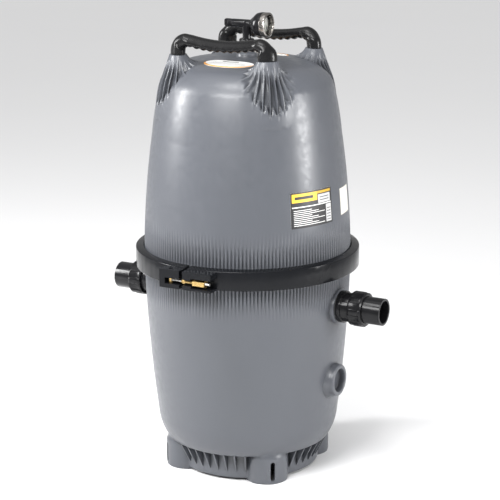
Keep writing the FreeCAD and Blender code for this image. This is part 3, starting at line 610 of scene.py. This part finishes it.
def make_upper_housing():
    """The lid: fluted shell, four pleated towers and the gauge neck, closed inside."""
    shape = Shape()
    line = [p for p in lid_outline(LID_STEP) if p[0] > 29.0 and p[1] > 609.0]
    flange = [(FLANGE_RADIUS, 602.0), (FLANGE_RADIUS - 1, 603.0), (283.4, 605.6)]
    outer = [shape.row(circle(COARSE, r, z)) for r, z in flange] + [shape.row(circle(FINE, *UPPER_RIM))]
    outer += shell_rows(shape, line, LID_FLUTES, "low")
    neck = [(28.6, DOME_TOP - 0.4), (27.2, DOME_TOP + 0.8), (27.0, DOME_TOP + 7.4), (26.0, DOME_TOP + 9.2),
            (17.6, DOME_TOP + 11.6), (16.0, DOME_TOP + 13.2), (16.0, NECK_TOP - 0.8), (15.2, NECK_TOP),
            (10.4, NECK_TOP), (9.0, NECK_TOP - 0.6), (9.0, 1123.0)]
    outer += [shape.row(circle(HIDDEN if r > 20 else 72, r, z)) for r, z in neck]
    waist = (WAIST[0] - WALL, WAIST[1])
    shoulder = (SHOULDER[0] - WALL, SHOULDER[1] - 4)
    dome = (DOME[0] - 4, DOME[1] - 7)
    hollow = arc((LOWER_RIM[0] - WALL, 608.0), waist, LID_CURVE, 40.0)
    hollow += arc(waist, shoulder, UPPER_CURVE, 20.0)
    hollow += arc(shoulder, dome, SHOULDER_CURVE, 12.0)
    hollow += arc(dome, (9.0, DOME_TOP - 7), DOME_CURVE, 30.0)
    inner = [shape.row(circle(HIDDEN, r, z)) for r, z in reversed(hollow)]
    inner.append(shape.row(circle(HIDDEN, LOWER_RIM[0] - WALL, SEAM_HIGH)))
    inner.append(shape.row(circle(COARSE, FLANGE_RADIUS - 1, SEAM_HIGH)))
    inner.append(shape.row(circle(COARSE, FLANGE_RADIUS, SEAM_HIGH + 1)))
    shape.chain(outer)
    shape.faces = cut_zone(np.concatenate(shape.points), shape.faces)
    shape.inks = [0] * len(shape.faces)
    shape.chain([outer[-1]] + inner + [outer[0]])
    patch = tower_patch()
    for turn in (45.0, 135.0, 225.0, 315.0):
        shape.merge(patch, turn)
    close_towers(shape.piece("upper_housing_shell", "lid", "grey_housing", ["upper_housing"], LID_EDGE))


def close_towers(lid):
    """Joins each tower's edge to the shell round it."""
    work = bmesh.new()
    work.from_mesh(lid.data)
    loose = [v for v in work.verts if not v.link_faces]
    bmesh.ops.delete(work, geom=loose, context="VERTS")
    for x in (-1, 1):
        for y in (-1, 1):
            near = [e for e in work.edges if e.is_boundary
                    and e.verts[0].co.x * x > 0 and e.verts[0].co.y * y > 0]
            made = bmesh.ops.triangle_fill(work, use_beauty=True, use_dissolve=False, edges=near,
                                           normal=Vector((x, y, 1.2)).normalized())
            faces = [f for f in made["geom"] if isinstance(f, bmesh.types.BMFace)]
            for face in faces:
                face.smooth = True
    bmesh.ops.recalc_face_normals(work, faces=work.faces)
    work.to_mesh(lid.data)
    work.free()
    lid.data.set_sharp_from_angle(angle=math.radians(LID_EDGE))


# ------------------------------------------------------------------ lower housing
FOOT_STEP = 2 * math.pi / FINE
FOOT_COLUMNS = FINE // 4
SLOT_COLUMNS = 5
FOOT_REACH = FOOT_RING + FOOT_RADIUS
SKIRT_WALL = 6.0
FLOOR_UNDER = 64.0
FLOOR_TOP = 76.0
FEET_END = 100.0
BAND_ROWS = (3, 8, 14)


def tank_line(step):
    """The tank's outer (radius, height) line from the skirt's bottom to the rim."""
    line = [(SKIRT_RADIUS, SKIRT_LOW), (SKIRT_RADIUS, SKIRT_SHOULDER)]
    line += [(197.0, 70.5), (203.0, 73.6), (217.0, 77.6)]
    line += arc(BASE_EDGE, TURN, BASE_CURVE, step)
    return line + arc(TURN, LOWER_RIM, SIDE_CURVE, step) + [LOWER_RIM]


def foot_columns():
    """Column angles, with columns on both edges of each foot's slot."""
    number = np.arange(FINE) % FOOT_COLUMNS - FOOT_COLUMNS // 2
    edge = math.asin(SLOT_HALF / FOOT_REACH)
    far = 2 * SLOT_COLUMNS * FOOT_STEP
    marks = [-far, -edge, edge, far]
    places = np.array([-2, -1, 1, 2]) * SLOT_COLUMNS
    near = np.interp(number, places, marks)
    turn = np.where(np.abs(number) <= 2 * SLOT_COLUMNS, near, number * FOOT_STEP)
    quarter_turn = np.arange(FINE) // FOOT_COLUMNS * math.pi / 2 + math.pi / 4
    return quarter_turn + turn, turn, number


def foot_edge(turn, radius):
    """Distance from the tank's axis to a foot's outer side."""
    inside = radius ** 2 - (FOOT_RING * np.sin(turn)) ** 2
    return np.where(inside > 0, FOOT_RING * np.cos(turn) + np.sqrt(np.maximum(inside, 0.0)), 0.0)


def foot_rows(shape):
    """Grids of the outer and inner foot and skirt surfaces with the same columns."""
    angles, turn, number = foot_columns()
    line = np.array(tank_line(3.0))
    across = np.where(np.abs(number) <= SLOT_COLUMNS, FOOT_REACH * np.sin(turn), SLOT_HALF)
    bow = np.sqrt(np.maximum(SLOT_HALF ** 2 - across ** 2, 0.0))
    bottom = np.where(foot_edge(turn, FOOT_RADIUS) > SKIRT_RADIUS + 0.5, 0.0, SKIRT_LOW)
    levels = [bottom, SLOT_LOW + SLOT_HALF - bow, SLOT_HIGH - SLOT_HALF + bow, np.full(FINE, FEET_END)]
    outer, inner = [], []
    for band, count in enumerate(BAND_ROWS):
        for k in range(count):
            height = levels[band] + (levels[band + 1] - levels[band]) * k / count
            domed = np.maximum(height - FOOT_SHOULDER, 0) / FOOT_DOME
            shrink = np.sqrt(np.maximum(1 - domed ** 2, 0.0))
            body = np.interp(height, line[:, 1], line[:, 0])
            foot = foot_edge(turn, FOOT_RADIUS * shrink)
            radius = -blend_union(-body, -foot, FOOT_FILLET)
            radius = radius - EDGE_ROUND * smooth(1 - (height - bottom) / EDGE_ROUND)
            outer.append(shape.row(np.stack([radius * np.cos(angles), radius * np.sin(angles), height], 1)))
            if band < 2 or k == 0:
                hollow = foot_edge(turn, FOOT_RADIUS - FOOT_WALL)
                reach = -blend_union(-np.full(FINE, SKIRT_RADIUS - SKIRT_WALL), -hollow, HOLLOW_FILLET)
                inner.append(shape.row(np.stack([reach * np.cos(angles), reach * np.sin(angles), height], 1)))
    return outer, inner, number


def slot_walls(shape, outer, inner, number, low, high):
    """The sides of the four foot slots between the outer and inner surfaces."""
    for j in range(FINE):
        if abs(number[j]) == SLOT_COLUMNS:
            for i in range(low, high):
                shape.add([[outer[i][j], outer[i + 1][j], inner[i + 1][j], inner[i][j]]])
        if -SLOT_COLUMNS <= number[j] < SLOT_COLUMNS:
            for i in (low, high):
                shape.add([[outer[i][j], outer[i][j + 1], inner[i][j + 1], inner[i][j]]])


def join_open(shape, a, b, number):
    """Faces between two rows except across the foot slots."""
    after_a, after_b = np.roll(a, -1), np.roll(b, -1)
    keep = ~((number >= -SLOT_COLUMNS) & (number < SLOT_COLUMNS))
    shape.add(np.stack([a, after_a, after_b, b], 1)[keep].tolist())


def add_fin(shape, angle):
    """One thin upright fin under the tank's rounded base."""
    sides = []
    for side in (-1, 1):
        half = side * FIN_THICK / 2
        corners = [(190.0, FIN_LOW - 1, half), (196.5, FIN_LOW, half * 0.9), (225.4, 81.0, half * 0.8),
                   (219.0, 85.0, half), (190.0, 78.0, half)]
        c, s = math.cos(angle), math.sin(angle)
        sides.append(shape.row([(r * c - y * s, r * s + y * c, z) for r, z, y in corners]))
        shape.add([sides[-1].tolist()])
    shape.join(*sides)


def add_bosses(shape):
    """Raised rings for the two unions, the blind spare port and the drain."""
    port = [(36.2, 250.0), (52.0, 250.0), (51.0, 264.0), (48.6, 272.0), (47.7, 278.0), (47.5, 283.2),
            (46.9, 284.5), (45.6, PORT_FACE), (36.2, PORT_FACE)]
    for x in (-1, 1):
        lathe(shape, port, axis_frame((0, 0, PORT_HEIGHT), (x, 0, 0)), 128)
    spare = [(0.0, 240.0), (54.0, 240.0), (52.0, 256.0), (47.0, 264.0), (44.4, 270.0), (43.5, 276.0),
             (43.5, 280.6), (42.6, 282.2), (40.4, SPARE_FACE), (33.6, SPARE_FACE), (32.4, 283.0),
             (32.0, 282.0), (32.0, 267.0), (30.6, 265.6), (0.0, 265.5)]
    lathe(shape, spare, axis_frame((0, 0, SPARE_HEIGHT), (1, 0, 0)), 128)
    drain = [(24.2, 230.0), (45.0, 230.0), (43.0, 244.0), (39.4, 250.0), (38.0, 253.0), (37.4, 255.2),
             (36.0, DRAIN_FACE), (24.2, DRAIN_FACE)]
    lathe(shape, drain, axis_frame((0, 0, DRAIN_HEIGHT), (0, 1, 0)), 96)


def add_foot_back(shape, angle):
    """The inner half of a foot's tube, under the tank."""
    tube = [(50.8, 0.4), (51.4, 0.0), (56.4, 0.0), (57.1, 0.8), (57.1, 63.0), (50.8, 63.0)]
    back = Shape()
    lathe(back, tube, Matrix.Identity(4), 120)
    points = np.concatenate(back.points)
    outward = np.array([math.cos(angle), math.sin(angle), 0.0])
    hidden = points @ outward > 14.0
    back.faces = [face for face in back.faces if not all(hidden[p] for p in face)]
    back.inks = [0] * len(back.faces)
    back.points = [points + FOOT_RING * outward]
    shape.merge(back)


def make_lower_housing():
    """The tank: shell with flutes, flange, slotted hollow feet, skirt, fins and bosses."""
    shape = Shape()
    outer, inner, number = foot_rows(shape)
    low, high = BAND_ROWS[0], BAND_ROWS[0] + BAND_ROWS[1]
    for grid in (outer, inner):
        for i, (a, b) in enumerate(zip(grid, grid[1:])):
            if low <= i < high:
                join_open(shape, a, b, number)
            else:
                shape.join(a, b)
    slot_walls(shape, outer, inner, number, low, high)
    shape.join(outer[0], inner[0])
    line = [p for p in tank_line(7.0) if p[1] > FEET_END + 2]
    upper = shell_rows(shape, line, TANK_FLUTES, "high")
    flange = [(283.6, 575.6), (291.6, 577.6), (FLANGE_RADIUS, 579.2), (FLANGE_RADIUS, SEAM_LOW - 1),
              (FLANGE_RADIUS - 1, SEAM_LOW), (LOWER_RIM[0] - WALL, SEAM_LOW)]
    upper += [shape.row(circle(FINE, r, z)) for r, z in flange]
    inside = [(r - WALL, z) for r, z in tank_line(40.0) if z > FEET_END][::-1]
    inside += [(215.0, 90.0), (195.0, FLOOR_TOP + 4)]
    upper += [shape.row(circle(HIDDEN, r, z)) for r, z in inside] + [shape.row([[0.0, 0.0, FLOOR_TOP]])]
    shape.chain([outer[-1]] + upper)
    ceiling = [shape.row(circle(HIDDEN, 150.0, FLOOR_UNDER)), shape.row([[0.0, 0.0, FLOOR_UNDER]])]
    shape.chain([inner[-1]] + ceiling)
    for foot in range(4):
        add_foot_back(shape, math.radians(45.0 + 90.0 * foot))
    for fin in range(FIN_COUNT):
        angle = 2 * math.pi * (fin + 0.5) / FIN_COUNT
        if abs(angle % (math.pi / 2) - math.pi / 4) > FOOT_HALF_ANGLE:
            add_fin(shape, angle)
    add_bosses(shape)
    shape.piece("lower_housing_shell", "tank", "grey_housing", ["lower_housing"], 44.0)


# ------------------------------------------------------------------ handles
HANDLE_Y = TOWER_REACH
GAUGE_HEIGHT = 1218.0
BAR_HEIGHT = 1184.0
BAR_HALF = 92.0
BAR_DIP = 9.0
SEAT_HEIGHT = 1146.8
ELBOW_TOP = 1190.0
ELBOW_WIDE, BAR_WIDE, FOOT_WIDE = 20.0, 19.0, 26.0
ELBOW_HIGH, BAR_HIGH, FOOT_HIGH = 18.5, 14.0, 19.0
SCALLOPS = 9
SCALLOP_SHARE = 0.22
BAR_TILT = math.radians(30.0)
FOOT_TURN = math.radians(45.0)


def handle_path(count):
    """Centre points (x, z) of a handle: a curve up from each foot and a bar that dips between them."""
    s = np.arange(count + 1) / count
    knee = (1 - s) ** 2 + 2 * s * (1 - s)
    x = -HANDLE_Y * knee - BAR_HALF * s ** 2
    z = SEAT_HEIGHT * (1 - s) ** 2 + ELBOW_TOP * 2 * s * (1 - s) + (BAR_HEIGHT - 2) * s ** 2
    left = np.stack([x, z], 1)
    bar_x = np.linspace(-BAR_HALF, BAR_HALF, 181)[1:-1]
    bar = np.stack([bar_x, BAR_HEIGHT - 2 - BAR_DIP * (1 - (bar_x / BAR_HALF) ** 2)], 1)
    return np.vstack([left, bar, left[::-1] * [-1, 1]])


def make_handle(name, side):
    """A moulded carrying handle: beaked ends on the towers and finger scallops under the bar."""
    path = handle_path(26)
    along = np.gradient(path, axis=0)
    along /= np.linalg.norm(along, axis=1)[:, None]
    shape = Shape()
    rows = []
    turn = 2 * math.pi * np.arange(40) / 40
    for (x, z), (tx, tz) in zip(path, along):
        bar = smooth((112.0 - abs(x)) / 16.0)
        foot = smooth((abs(x) - 124.0) / 9.0)
        wide = ELBOW_WIDE + (BAR_WIDE - ELBOW_WIDE) * bar + (FOOT_WIDE - ELBOW_WIDE) * foot
        high = ELBOW_HIGH + (BAR_HIGH - ELBOW_HIGH) * bar + (FOOT_HIGH - ELBOW_HIGH) * foot
        tilt = -side * (BAR_TILT * bar + FOOT_TURN * foot)
        grip = 0.5 + 0.5 * math.cos(math.pi * SCALLOPS * x / BAR_HALF)
        across, lift = wide * np.cos(turn), high * np.sin(turn)
        y = across * math.cos(tilt) - lift * math.sin(tilt)
        up = across * math.sin(tilt) + lift * math.cos(tilt)
        up = np.where(up < 0, up * (1 - SCALLOP_SHARE * bar * grip), up)
        rows.append(shape.row(np.stack([x - tz * up, side * HANDLE_Y + y, z + tx * up], 1)))
    shape.chain(rows)
    shape.add([rows[0].tolist(), rows[-1].tolist()])
    shape.piece(name + "_grip", "lid", "black_plastic", [name], 46.0, [MATERIALS["handle_black"]])


# ------------------------------------------------------------------ printed labels
INKS = {
    "film": (0.72, 0.71, 0.66), "black": (0.012, 0.012, 0.013), "yellow": (0.8, 0.5, 0.03),
    "amber": (0.55, 0.33, 0.02), "grey": (0.5, 0.5, 0.5), "orange": (0.85, 0.36, 0.05),
    "white": (0.9, 0.9, 0.88), "beige": (0.62, 0.58, 0.5),
}
PRINT = {name: ink("ink_" + name, colour) for name, colour in INKS.items()}
PRINT_ORDER = list(INKS)
LID_LINE = np.array(lid_outline(4.0))
DOME_LINE = np.array([p for p in lid_outline(3.0) if p[1] > SHOULDER[1]] + [(0.0, DOME_TOP)])[::-1]


def lid_radius(height):
    """The lid's radius at a height on its side."""
    return np.interp(height, LID_LINE[:, 1], LID_LINE[:, 0])


def dome_height(radius):
    """The dome's height at a distance from its middle."""
    return np.interp(radius, DOME_LINE[:, 0], DOME_LINE[:, 1])


def stops(blocks, axis, count):
    """Grid lines across a label: even steps plus every block's own edges."""
    edges = {round(k / count, 4) for k in range(count + 1)}
    for block in blocks:
        edges |= {round(block[axis], 4), round(block[axis + 1], 4)}
    return sorted(edges)


def print_label(node, body, blocks, count, spot):
    """A label with blocks (left, right, low, high, ink); spot maps shares to a point and its normal."""
    across, upright = stops(blocks, 0, count[0]), stops(blocks, 2, count[1])
    shape = Shape()
    front = [shape.row([spot(u, v, 0.55) for u in across]) for v in upright]
    back = [shape.row([spot(u, v, -0.3) for u in across]) for v in upright]
    for i, (low, high) in enumerate(zip(upright, upright[1:])):
        for j, (left, right) in enumerate(zip(across, across[1:])):
            u, v = (left + right) / 2, (low + high) / 2
            covering = [b[4] for b in blocks if b[0] < u < b[1] and b[2] < v < b[3]]
            colour = PRINT_ORDER.index(covering[-1] if covering else "film")
            shape.add([[front[i][j], front[i][j + 1], front[i + 1][j + 1], front[i + 1][j]]], colour)
    shape.join(label_rim(front), label_rim(back))
    shape.chain(back, closed=False)
    shape.piece(node + "_print", body, "label_film", [node], 60.0, [PRINT[n] for n in PRINT_ORDER])


def label_rim(grid):
    """The points round the edge of a label's grid."""
    right = [row[-1] for row in grid[:-1]]
    left = [row[0] for row in grid[:0:-1]]
    return np.array([*grid[0][:-1], *right, *grid[-1][:0:-1], *left])


def side_spot(node, start, span):
    """Places a label on the lid's side at its node's height; angles in degrees."""
    low, high = lowest(node, 2), highest(node, 2)

    def spot(u, v, lift):
        angle, height = math.radians(start + span * u), low + (high - low) * v
        radius = float(lid_radius(height)) + lift
        return radius * math.cos(angle), radius * math.sin(angle), height
    return spot


def dome_spot(start, span, near, far):
    """Places an oval label on the dome."""
    def spot(u, v, lift):
        bulge = math.sqrt(max(1 - abs(2 * u - 1) ** 3.0, 0.02))
        angle = math.radians(start + span * u)
        radius = (near + far) / 2 + (far - near) * (0.5 - v) * bulge
        return radius * math.cos(angle), radius * math.sin(angle), float(dome_height(radius)) + lift
    return spot


def make_spec_label():
    """The specification label: a yellow title block over lines of print on black."""
    blocks = [(0.0, 1.0, 0.0, 1.0, "black"), (0.03, 0.60, 0.72, 0.96, "yellow"),
              (0.60, 0.97, 0.89, 0.96, "amber"), (0.62, 0.95, 0.62, 0.86, "grey"),
              (0.66, 0.91, 0.77, 0.79, "black"), (0.66, 0.91, 0.69, 0.71, "black"),
              (0.03, 0.97, 0.575, 0.60, "white"), (0.82, 0.97, 0.05, 0.55, "grey")]
    blocks += [(0.06, 0.78 - 0.16 * (k % 3), 0.07 + 0.052 * k, 0.085 + 0.052 * k, "white") for k in range(9)]
    blocks += [(0.84, 0.95, 0.1 + 0.08 * k, 0.12 + 0.08 * k, "black") for k in range(5)]
    blocks += [(0.09, 0.5, 0.80, 0.88, "black")]
    print_label("spec_label", "lid", blocks, (40, 8), side_spot("spec_label", -37.3, 29.8))


def make_data_label():
    """The pale label round the lid's right side."""
    blocks = [(0.0, 1.0, 0.0, 1.0, "beige"), (0.05, 0.95, 0.03, 0.97, "film")]
    blocks += [(0.14, 0.86 - 0.2 * (k % 2), 0.1 + 0.09 * k, 0.125 + 0.09 * k, "grey") for k in range(9)]
    print_label("data_label", "lid", blocks, (18, 8), side_spot("data_label", 2.5, 13.5))


def make_warning_labels():
    """The two oval warning labels on the dome."""
    blocks = [(0.0, 1.0, 0.0, 0.14, "orange"), (0.0, 1.0, 0.14, 1.0, "white"),
              (0.3, 0.7, 0.78, 0.86, "black")]
    blocks += [(0.16, 0.84, 0.3 + 0.1 * k, 0.33 + 0.1 * k, "grey") for k in range(4)]
    for node, start in (("warning_label_front", -128.0), ("warning_label_rear", 52.0)):
        print_label(node, "lid", blocks, (48, 8), dome_spot(start, 76.0, 78.0, 142.0))


# ------------------------------------------------------------------ nuts, clamp, gauge and elements
def lugged(shape, outline, lugs, rise, width, matrix, steps):
    """Spins an outline of (radius, height, lug share) with rounded lugs standing on it."""
    count = lugs * steps
    angle = 2 * math.pi * np.arange(count) / count
    rows = []
    for radius, height, share in outline:
        offset = np.abs((angle * lugs / (2 * math.pi) + 0.5) % 1 - 0.5) * 2 * math.pi / lugs * radius
        lift = rise * share * smooth((width / 2 + 1.6 - offset) / 3.2)
        rows.append(shape.row(placed(circle(count, radius + lift, height), matrix)))
    shape.chain(rows, loop=True)


def make_union_nuts():
    """The lugged nuts of the inlet and outlet unions."""
    outline = [(40.4, 322.0, 0), (44.0, 322.0, 0), (45.2, 322.8, 0), (45.5, 324.6, 0), (45.5, 326.4, 0.75),
               (45.3, 328.5, 1), (44.6, 331.5, 1.25), (44.6, 352.5, 1.25), (45.3, 355.5, 1),
               (45.5, 357.4, 0.75), (45.5, 359.4, 0), (45.0, 361.2, 0), (43.6, 362.0, 0), (37.2, 362.0, 0),
               (37.2, 354.2, 0), (40.4, 354.2, 0)]
    for side, name in ((-1, "inlet_union_nut"), (1, "outlet_union_nut")):
        shape = Shape()
        lugged(shape, outline, 8, 2.7, 14.0, axis_frame((0, 0, PORT_HEIGHT), (side, 0, 0)), 24)
        shape.piece(name + "_shell", frame_body(name), "black_plastic", [name], 40.0)


def make_collar_nut():
    """The ribbed nut that holds the gauge's stem on the lid's neck."""
    outline = [(16.3, 1149.0, 0), (17.8, 1149.0, 0), (18.7, 1149.8, 0), (19.0, 1151.2, 0.7),
               (18.9, 1153.0, 1), (18.8, 1173.0, 1), (18.4, 1176.4, 0.9), (17.6, 1178.4, 0.3),
               (16.6, 1179.0, 0), (11.4, 1179.0, 0), (11.4, 1175.2, 0), (16.3, 1175.2, 0)]
    shape = Shape()
    lugged(shape, outline, 14, 1.7, 3.6, Matrix.Identity(4), 14)
    shape.piece("gauge_collar_nut_shell", "collar_nut", "black_plastic", ["gauge_collar_nut"], 40.0)


DIAL_FACE = 48.0
DIAL_BACK = 47.2
DIAL_RADIUS = 28.3
DIAL_RINGS = (4.0, 17.5, 21.0, 23.0, 25.0, DIAL_RADIUS)
DIAL_COLUMNS = 216
DIAL_SCALE = DIAL_COLUMNS * 3 // 8


def dial_ring(depth, radius):
    """Points round the dial, which faces +X."""
    turn = 2 * math.pi * np.arange(DIAL_COLUMNS) / DIAL_COLUMNS
    return np.stack([np.full(DIAL_COLUMNS, depth), radius * np.sin(turn),
                     GAUGE_HEIGHT + radius * np.cos(turn)], 1)


def dial_ink(band, column):
    """1 where the dial is black: ticks round three quarters of a turn and a band at their high end."""
    if min(column, DIAL_COLUMNS - column) > DIAL_SCALE:
        return 0
    long_tick = column % 9 == 0 and band <= 2
    short_tick = column % 3 == 0 and band == 2
    high_end = band == 1 and column > 170
    return int(long_tick or short_tick or high_end)


def make_dial():
    """The gauge's printed face."""
    shape = Shape()
    rings = [shape.row([[DIAL_FACE, 0.0, GAUGE_HEIGHT]])]
    rings += [shape.row(dial_ring(DIAL_FACE, radius)) for radius in DIAL_RINGS]
    shape.chain(rings[:3])
    for band, (a, b) in enumerate(zip(rings[2:], rings[3:])):
        for k in range(DIAL_COLUMNS):
            after = (k + 1) % DIAL_COLUMNS
            shape.add([[a[k], a[after], b[after], b[k]]], dial_ink(band, k))
    rear = [shape.row(dial_ring(DIAL_BACK, DIAL_RADIUS)), shape.row([[DIAL_BACK, 0.0, GAUGE_HEIGHT]])]
    shape.chain([rings[-1]] + rear)
    shape.piece("gauge_dial_print", "gauge", "dial_face", ["gauge_dial"], 50.0,
                [MATERIALS["dial_face"], PRINT["black"]])


def frame_body(node):
    """The body that a CAD node belongs to."""
    for body, nodes in frame["record"]["behaviour"]["bodies"].items():
        if node in nodes:
            return body
    return "tank"


MEDIA_PLEATS = 96
MEDIA_FOLD = (0.0, 0.45, 1.0, 0.45)
MEDIA_RADIUS = 91.6
MEDIA_BORE = 42.4
MEDIA_DEPTH = 7.0
MEDIA_MARGIN = 0.2


def make_media():
    """Pleated cloth of the four filter elements."""
    fold = np.tile(MEDIA_FOLD, MEDIA_PLEATS)
    for name in [f"element_{number}_media" for number in range(1, 5)]:
        centre = np.array([middle(name, 0), middle(name, 1), 0.0])
        bottom, top = lowest(name, 2) + MEDIA_MARGIN, highest(name, 2) - MEDIA_MARGIN
        heights = (bottom, middle(name, 2), top)
        outer = [circle(len(fold), MEDIA_RADIUS - MEDIA_DEPTH * fold, z) for z in heights]
        inner = [circle(len(fold), MEDIA_BORE, z) for z in (top, bottom)]
        shape = Shape()
        shape.chain([shape.row(ring + centre) for ring in outer + inner], loop=True)
        shape.piece(name + "_pleats", frame_body(name), "filter_media", [name], 70.0)


SOFT_EDGES = {
    "clamp_band": 1.4, "clamp_lug_anchor": 3.0, "clamp_lug_slotted": 3.0, "clamp_bolt": 0.5,
    "clamp_sleeve": 0.5, "clamp_nut": 0.9, "clamp_trunnion": 1.2, "inlet_tailpiece": 0.8,
    "outlet_tailpiece": 0.8, "inlet_bulkhead_fitting": 0.8, "outlet_bulkhead_fitting": 0.8,
    "drain_cap": 1.0, "drain_fitting": 0.8, "gauge_case": 1.2, "gauge_bezel": 0.8, "gauge_adapter": 1.0,
    "air_release_knob": 1.4, "bottom_manifold": 1.5, "top_manifold": 1.5, "element_1_end_caps": 1.5,
    "element_2_end_caps": 1.5, "element_3_end_caps": 1.5, "element_4_end_caps": 1.5,
}


def soften(name, width):
    """Rounds a CAD node's sharp edges with modifiers, its mesh left as it is."""
    node = frame["nodes"][name]
    weld = node.modifiers.new("weld", "WELD")
    weld.merge_threshold = 0.00001
    bevel = node.modifiers.new("rounded_edges", "BEVEL")
    bevel.limit_method = "ANGLE"
    bevel.angle_limit = math.radians(38.0)
    bevel.width = width * MM
    bevel.segments = 3
    bevel.harden_normals = True


# ------------------------------------------------------------------ studio
FLOOR_LEVEL = -0.6
LIGHT_AIM = Vector((0.0, 0.0, 0.62))


def make_floor():
    """A plain pale floor: one large flat disc just under the feet."""
    shape = Shape()
    rows = [shape.row([[0.0, 0.0, FLOOR_LEVEL]])]
    rows += [shape.row(circle(96, radius, FLOOR_LEVEL)) for radius in (400.0, 1500.0, 9000.0, 80000.0)]
    shape.chain(rows)
    paint = Paint("studio_floor", (0.84, 0.84, 0.845), 0.8)
    paint.tint(paint.noise(0.8), 0.995, 1.005)
    floor = bpy.data.objects.new("studio_floor", shape.mesh("studio_floor", [paint.material], 30.0))
    bpy.context.scene.collection.objects.link(floor)


def area_light(name, azimuth, elevation, distance, size, power):
    """A soft rectangular light aimed at the vessel; azimuth as in the views."""
    a, e = math.radians(azimuth), math.radians(elevation)
    back = Vector((math.sin(a) * math.cos(e), -math.cos(a) * math.cos(e), math.sin(e)))
    data = bpy.data.lights.new(name, "AREA")
    data.shape = "RECTANGLE"
    data.size, data.size_y = size
    data.energy = power
    light = bpy.data.objects.new(name, data)
    light.location = LIGHT_AIM + back * distance
    light.rotation_mode = "QUATERNION"
    light.rotation_quaternion = back.to_track_quat("Z", "Y")
    bpy.context.scene.collection.objects.link(light)


def make_lights():
    """Even white air, four soft rectangles and one wide overhead lamp."""
    world = bpy.data.worlds.new("studio_air")
    world.use_nodes = True
    background = world.node_tree.nodes["Background"]
    background.inputs["Color"].default_value = (1.0, 1.0, 1.0, 1.0)
    background.inputs["Strength"].default_value = 0.42
    bpy.context.scene.world = world
    area_light("left_strip", -62.0, 21.0, 3.2, (0.5, 1.4), 105.0)
    area_light("top_front", 0.0, 66.0, 3.2, (1.2, 0.8), 40.0)
    area_light("front_high", 4.0, 36.0, 2.2, (1.1, 0.7), 44.0)
    area_light("right_strip", 98.0, 10.0, 3.4, (0.6, 1.2), 88.0)
    sun = bpy.data.lights.new("overhead", "SUN")
    sun.energy = 1.3
    sun.angle = math.radians(75.0)
    lamp = bpy.data.objects.new("overhead", sun)
    lamp.rotation_euler = (math.radians(24.0), 0.0, math.radians(-8.0))
    bpy.context.scene.collection.objects.link(lamp)


def make_camera():
    """The photograph's view, fitted to the clamp ring, towers, feet and ports."""
    azimuth, elevation, distance = math.radians(28.66), math.radians(14.66), 5.060
    yaw, pitch, roll = math.radians(0.0748), math.radians(0.0087), math.radians(-0.2296)
    aim = Vector((0.0, 0.0, 0.596))
    back = Vector((math.sin(azimuth) * math.cos(elevation), -math.cos(azimuth) * math.cos(elevation),
                   math.sin(elevation)))
    right = Vector((math.cos(azimuth), math.sin(azimuth), 0.0))
    up = back.cross(right)
    ahead = (-back + right * math.tan(yaw) + up * math.tan(pitch)).normalized()
    right = (right * math.cos(roll) + up * math.sin(roll)).normalized()
    up = right.cross(ahead).normalized()
    right = ahead.cross(up).normalized()
    data = bpy.data.cameras.new("photo_camera")
    data.lens = 133.03
    data.sensor_width = 36.0
    data.clip_start, data.clip_end = 0.1, 60.0
    camera = bpy.data.objects.new("photo_camera", data)
    camera.matrix_world = Matrix((
        (right.x, up.x, -ahead.x, aim.x + back.x * distance),
        (right.y, up.y, -ahead.y, aim.y + back.y * distance),
        (right.z, up.z, -ahead.z, aim.z + back.z * distance),
        (0.0, 0.0, 0.0, 1.0),
    ))
    bpy.context.scene.collection.objects.link(camera)
    bpy.context.scene.camera = camera


def paint_frame():
    """Gives every CAD node the procedural material of its slot."""
    for node in frame["nodes"].values():
        for place in node.material_slots:
            place.material = MATERIALS[place.material.name.split(".")[0]]


paint_frame()
make_upper_housing()
make_lower_housing()
make_handle("handle_front", -1)
make_handle("handle_rear", 1)
make_spec_label()
make_data_label()
make_warning_labels()
make_union_nuts()
make_collar_nut()
make_dial()
make_media()
for soft_node, edge_width in SOFT_EDGES.items():
    soften(soft_node, edge_width)
make_floor()
make_lights()
make_camera()
bpy.context.scene.view_settings.view_transform = "Standard"
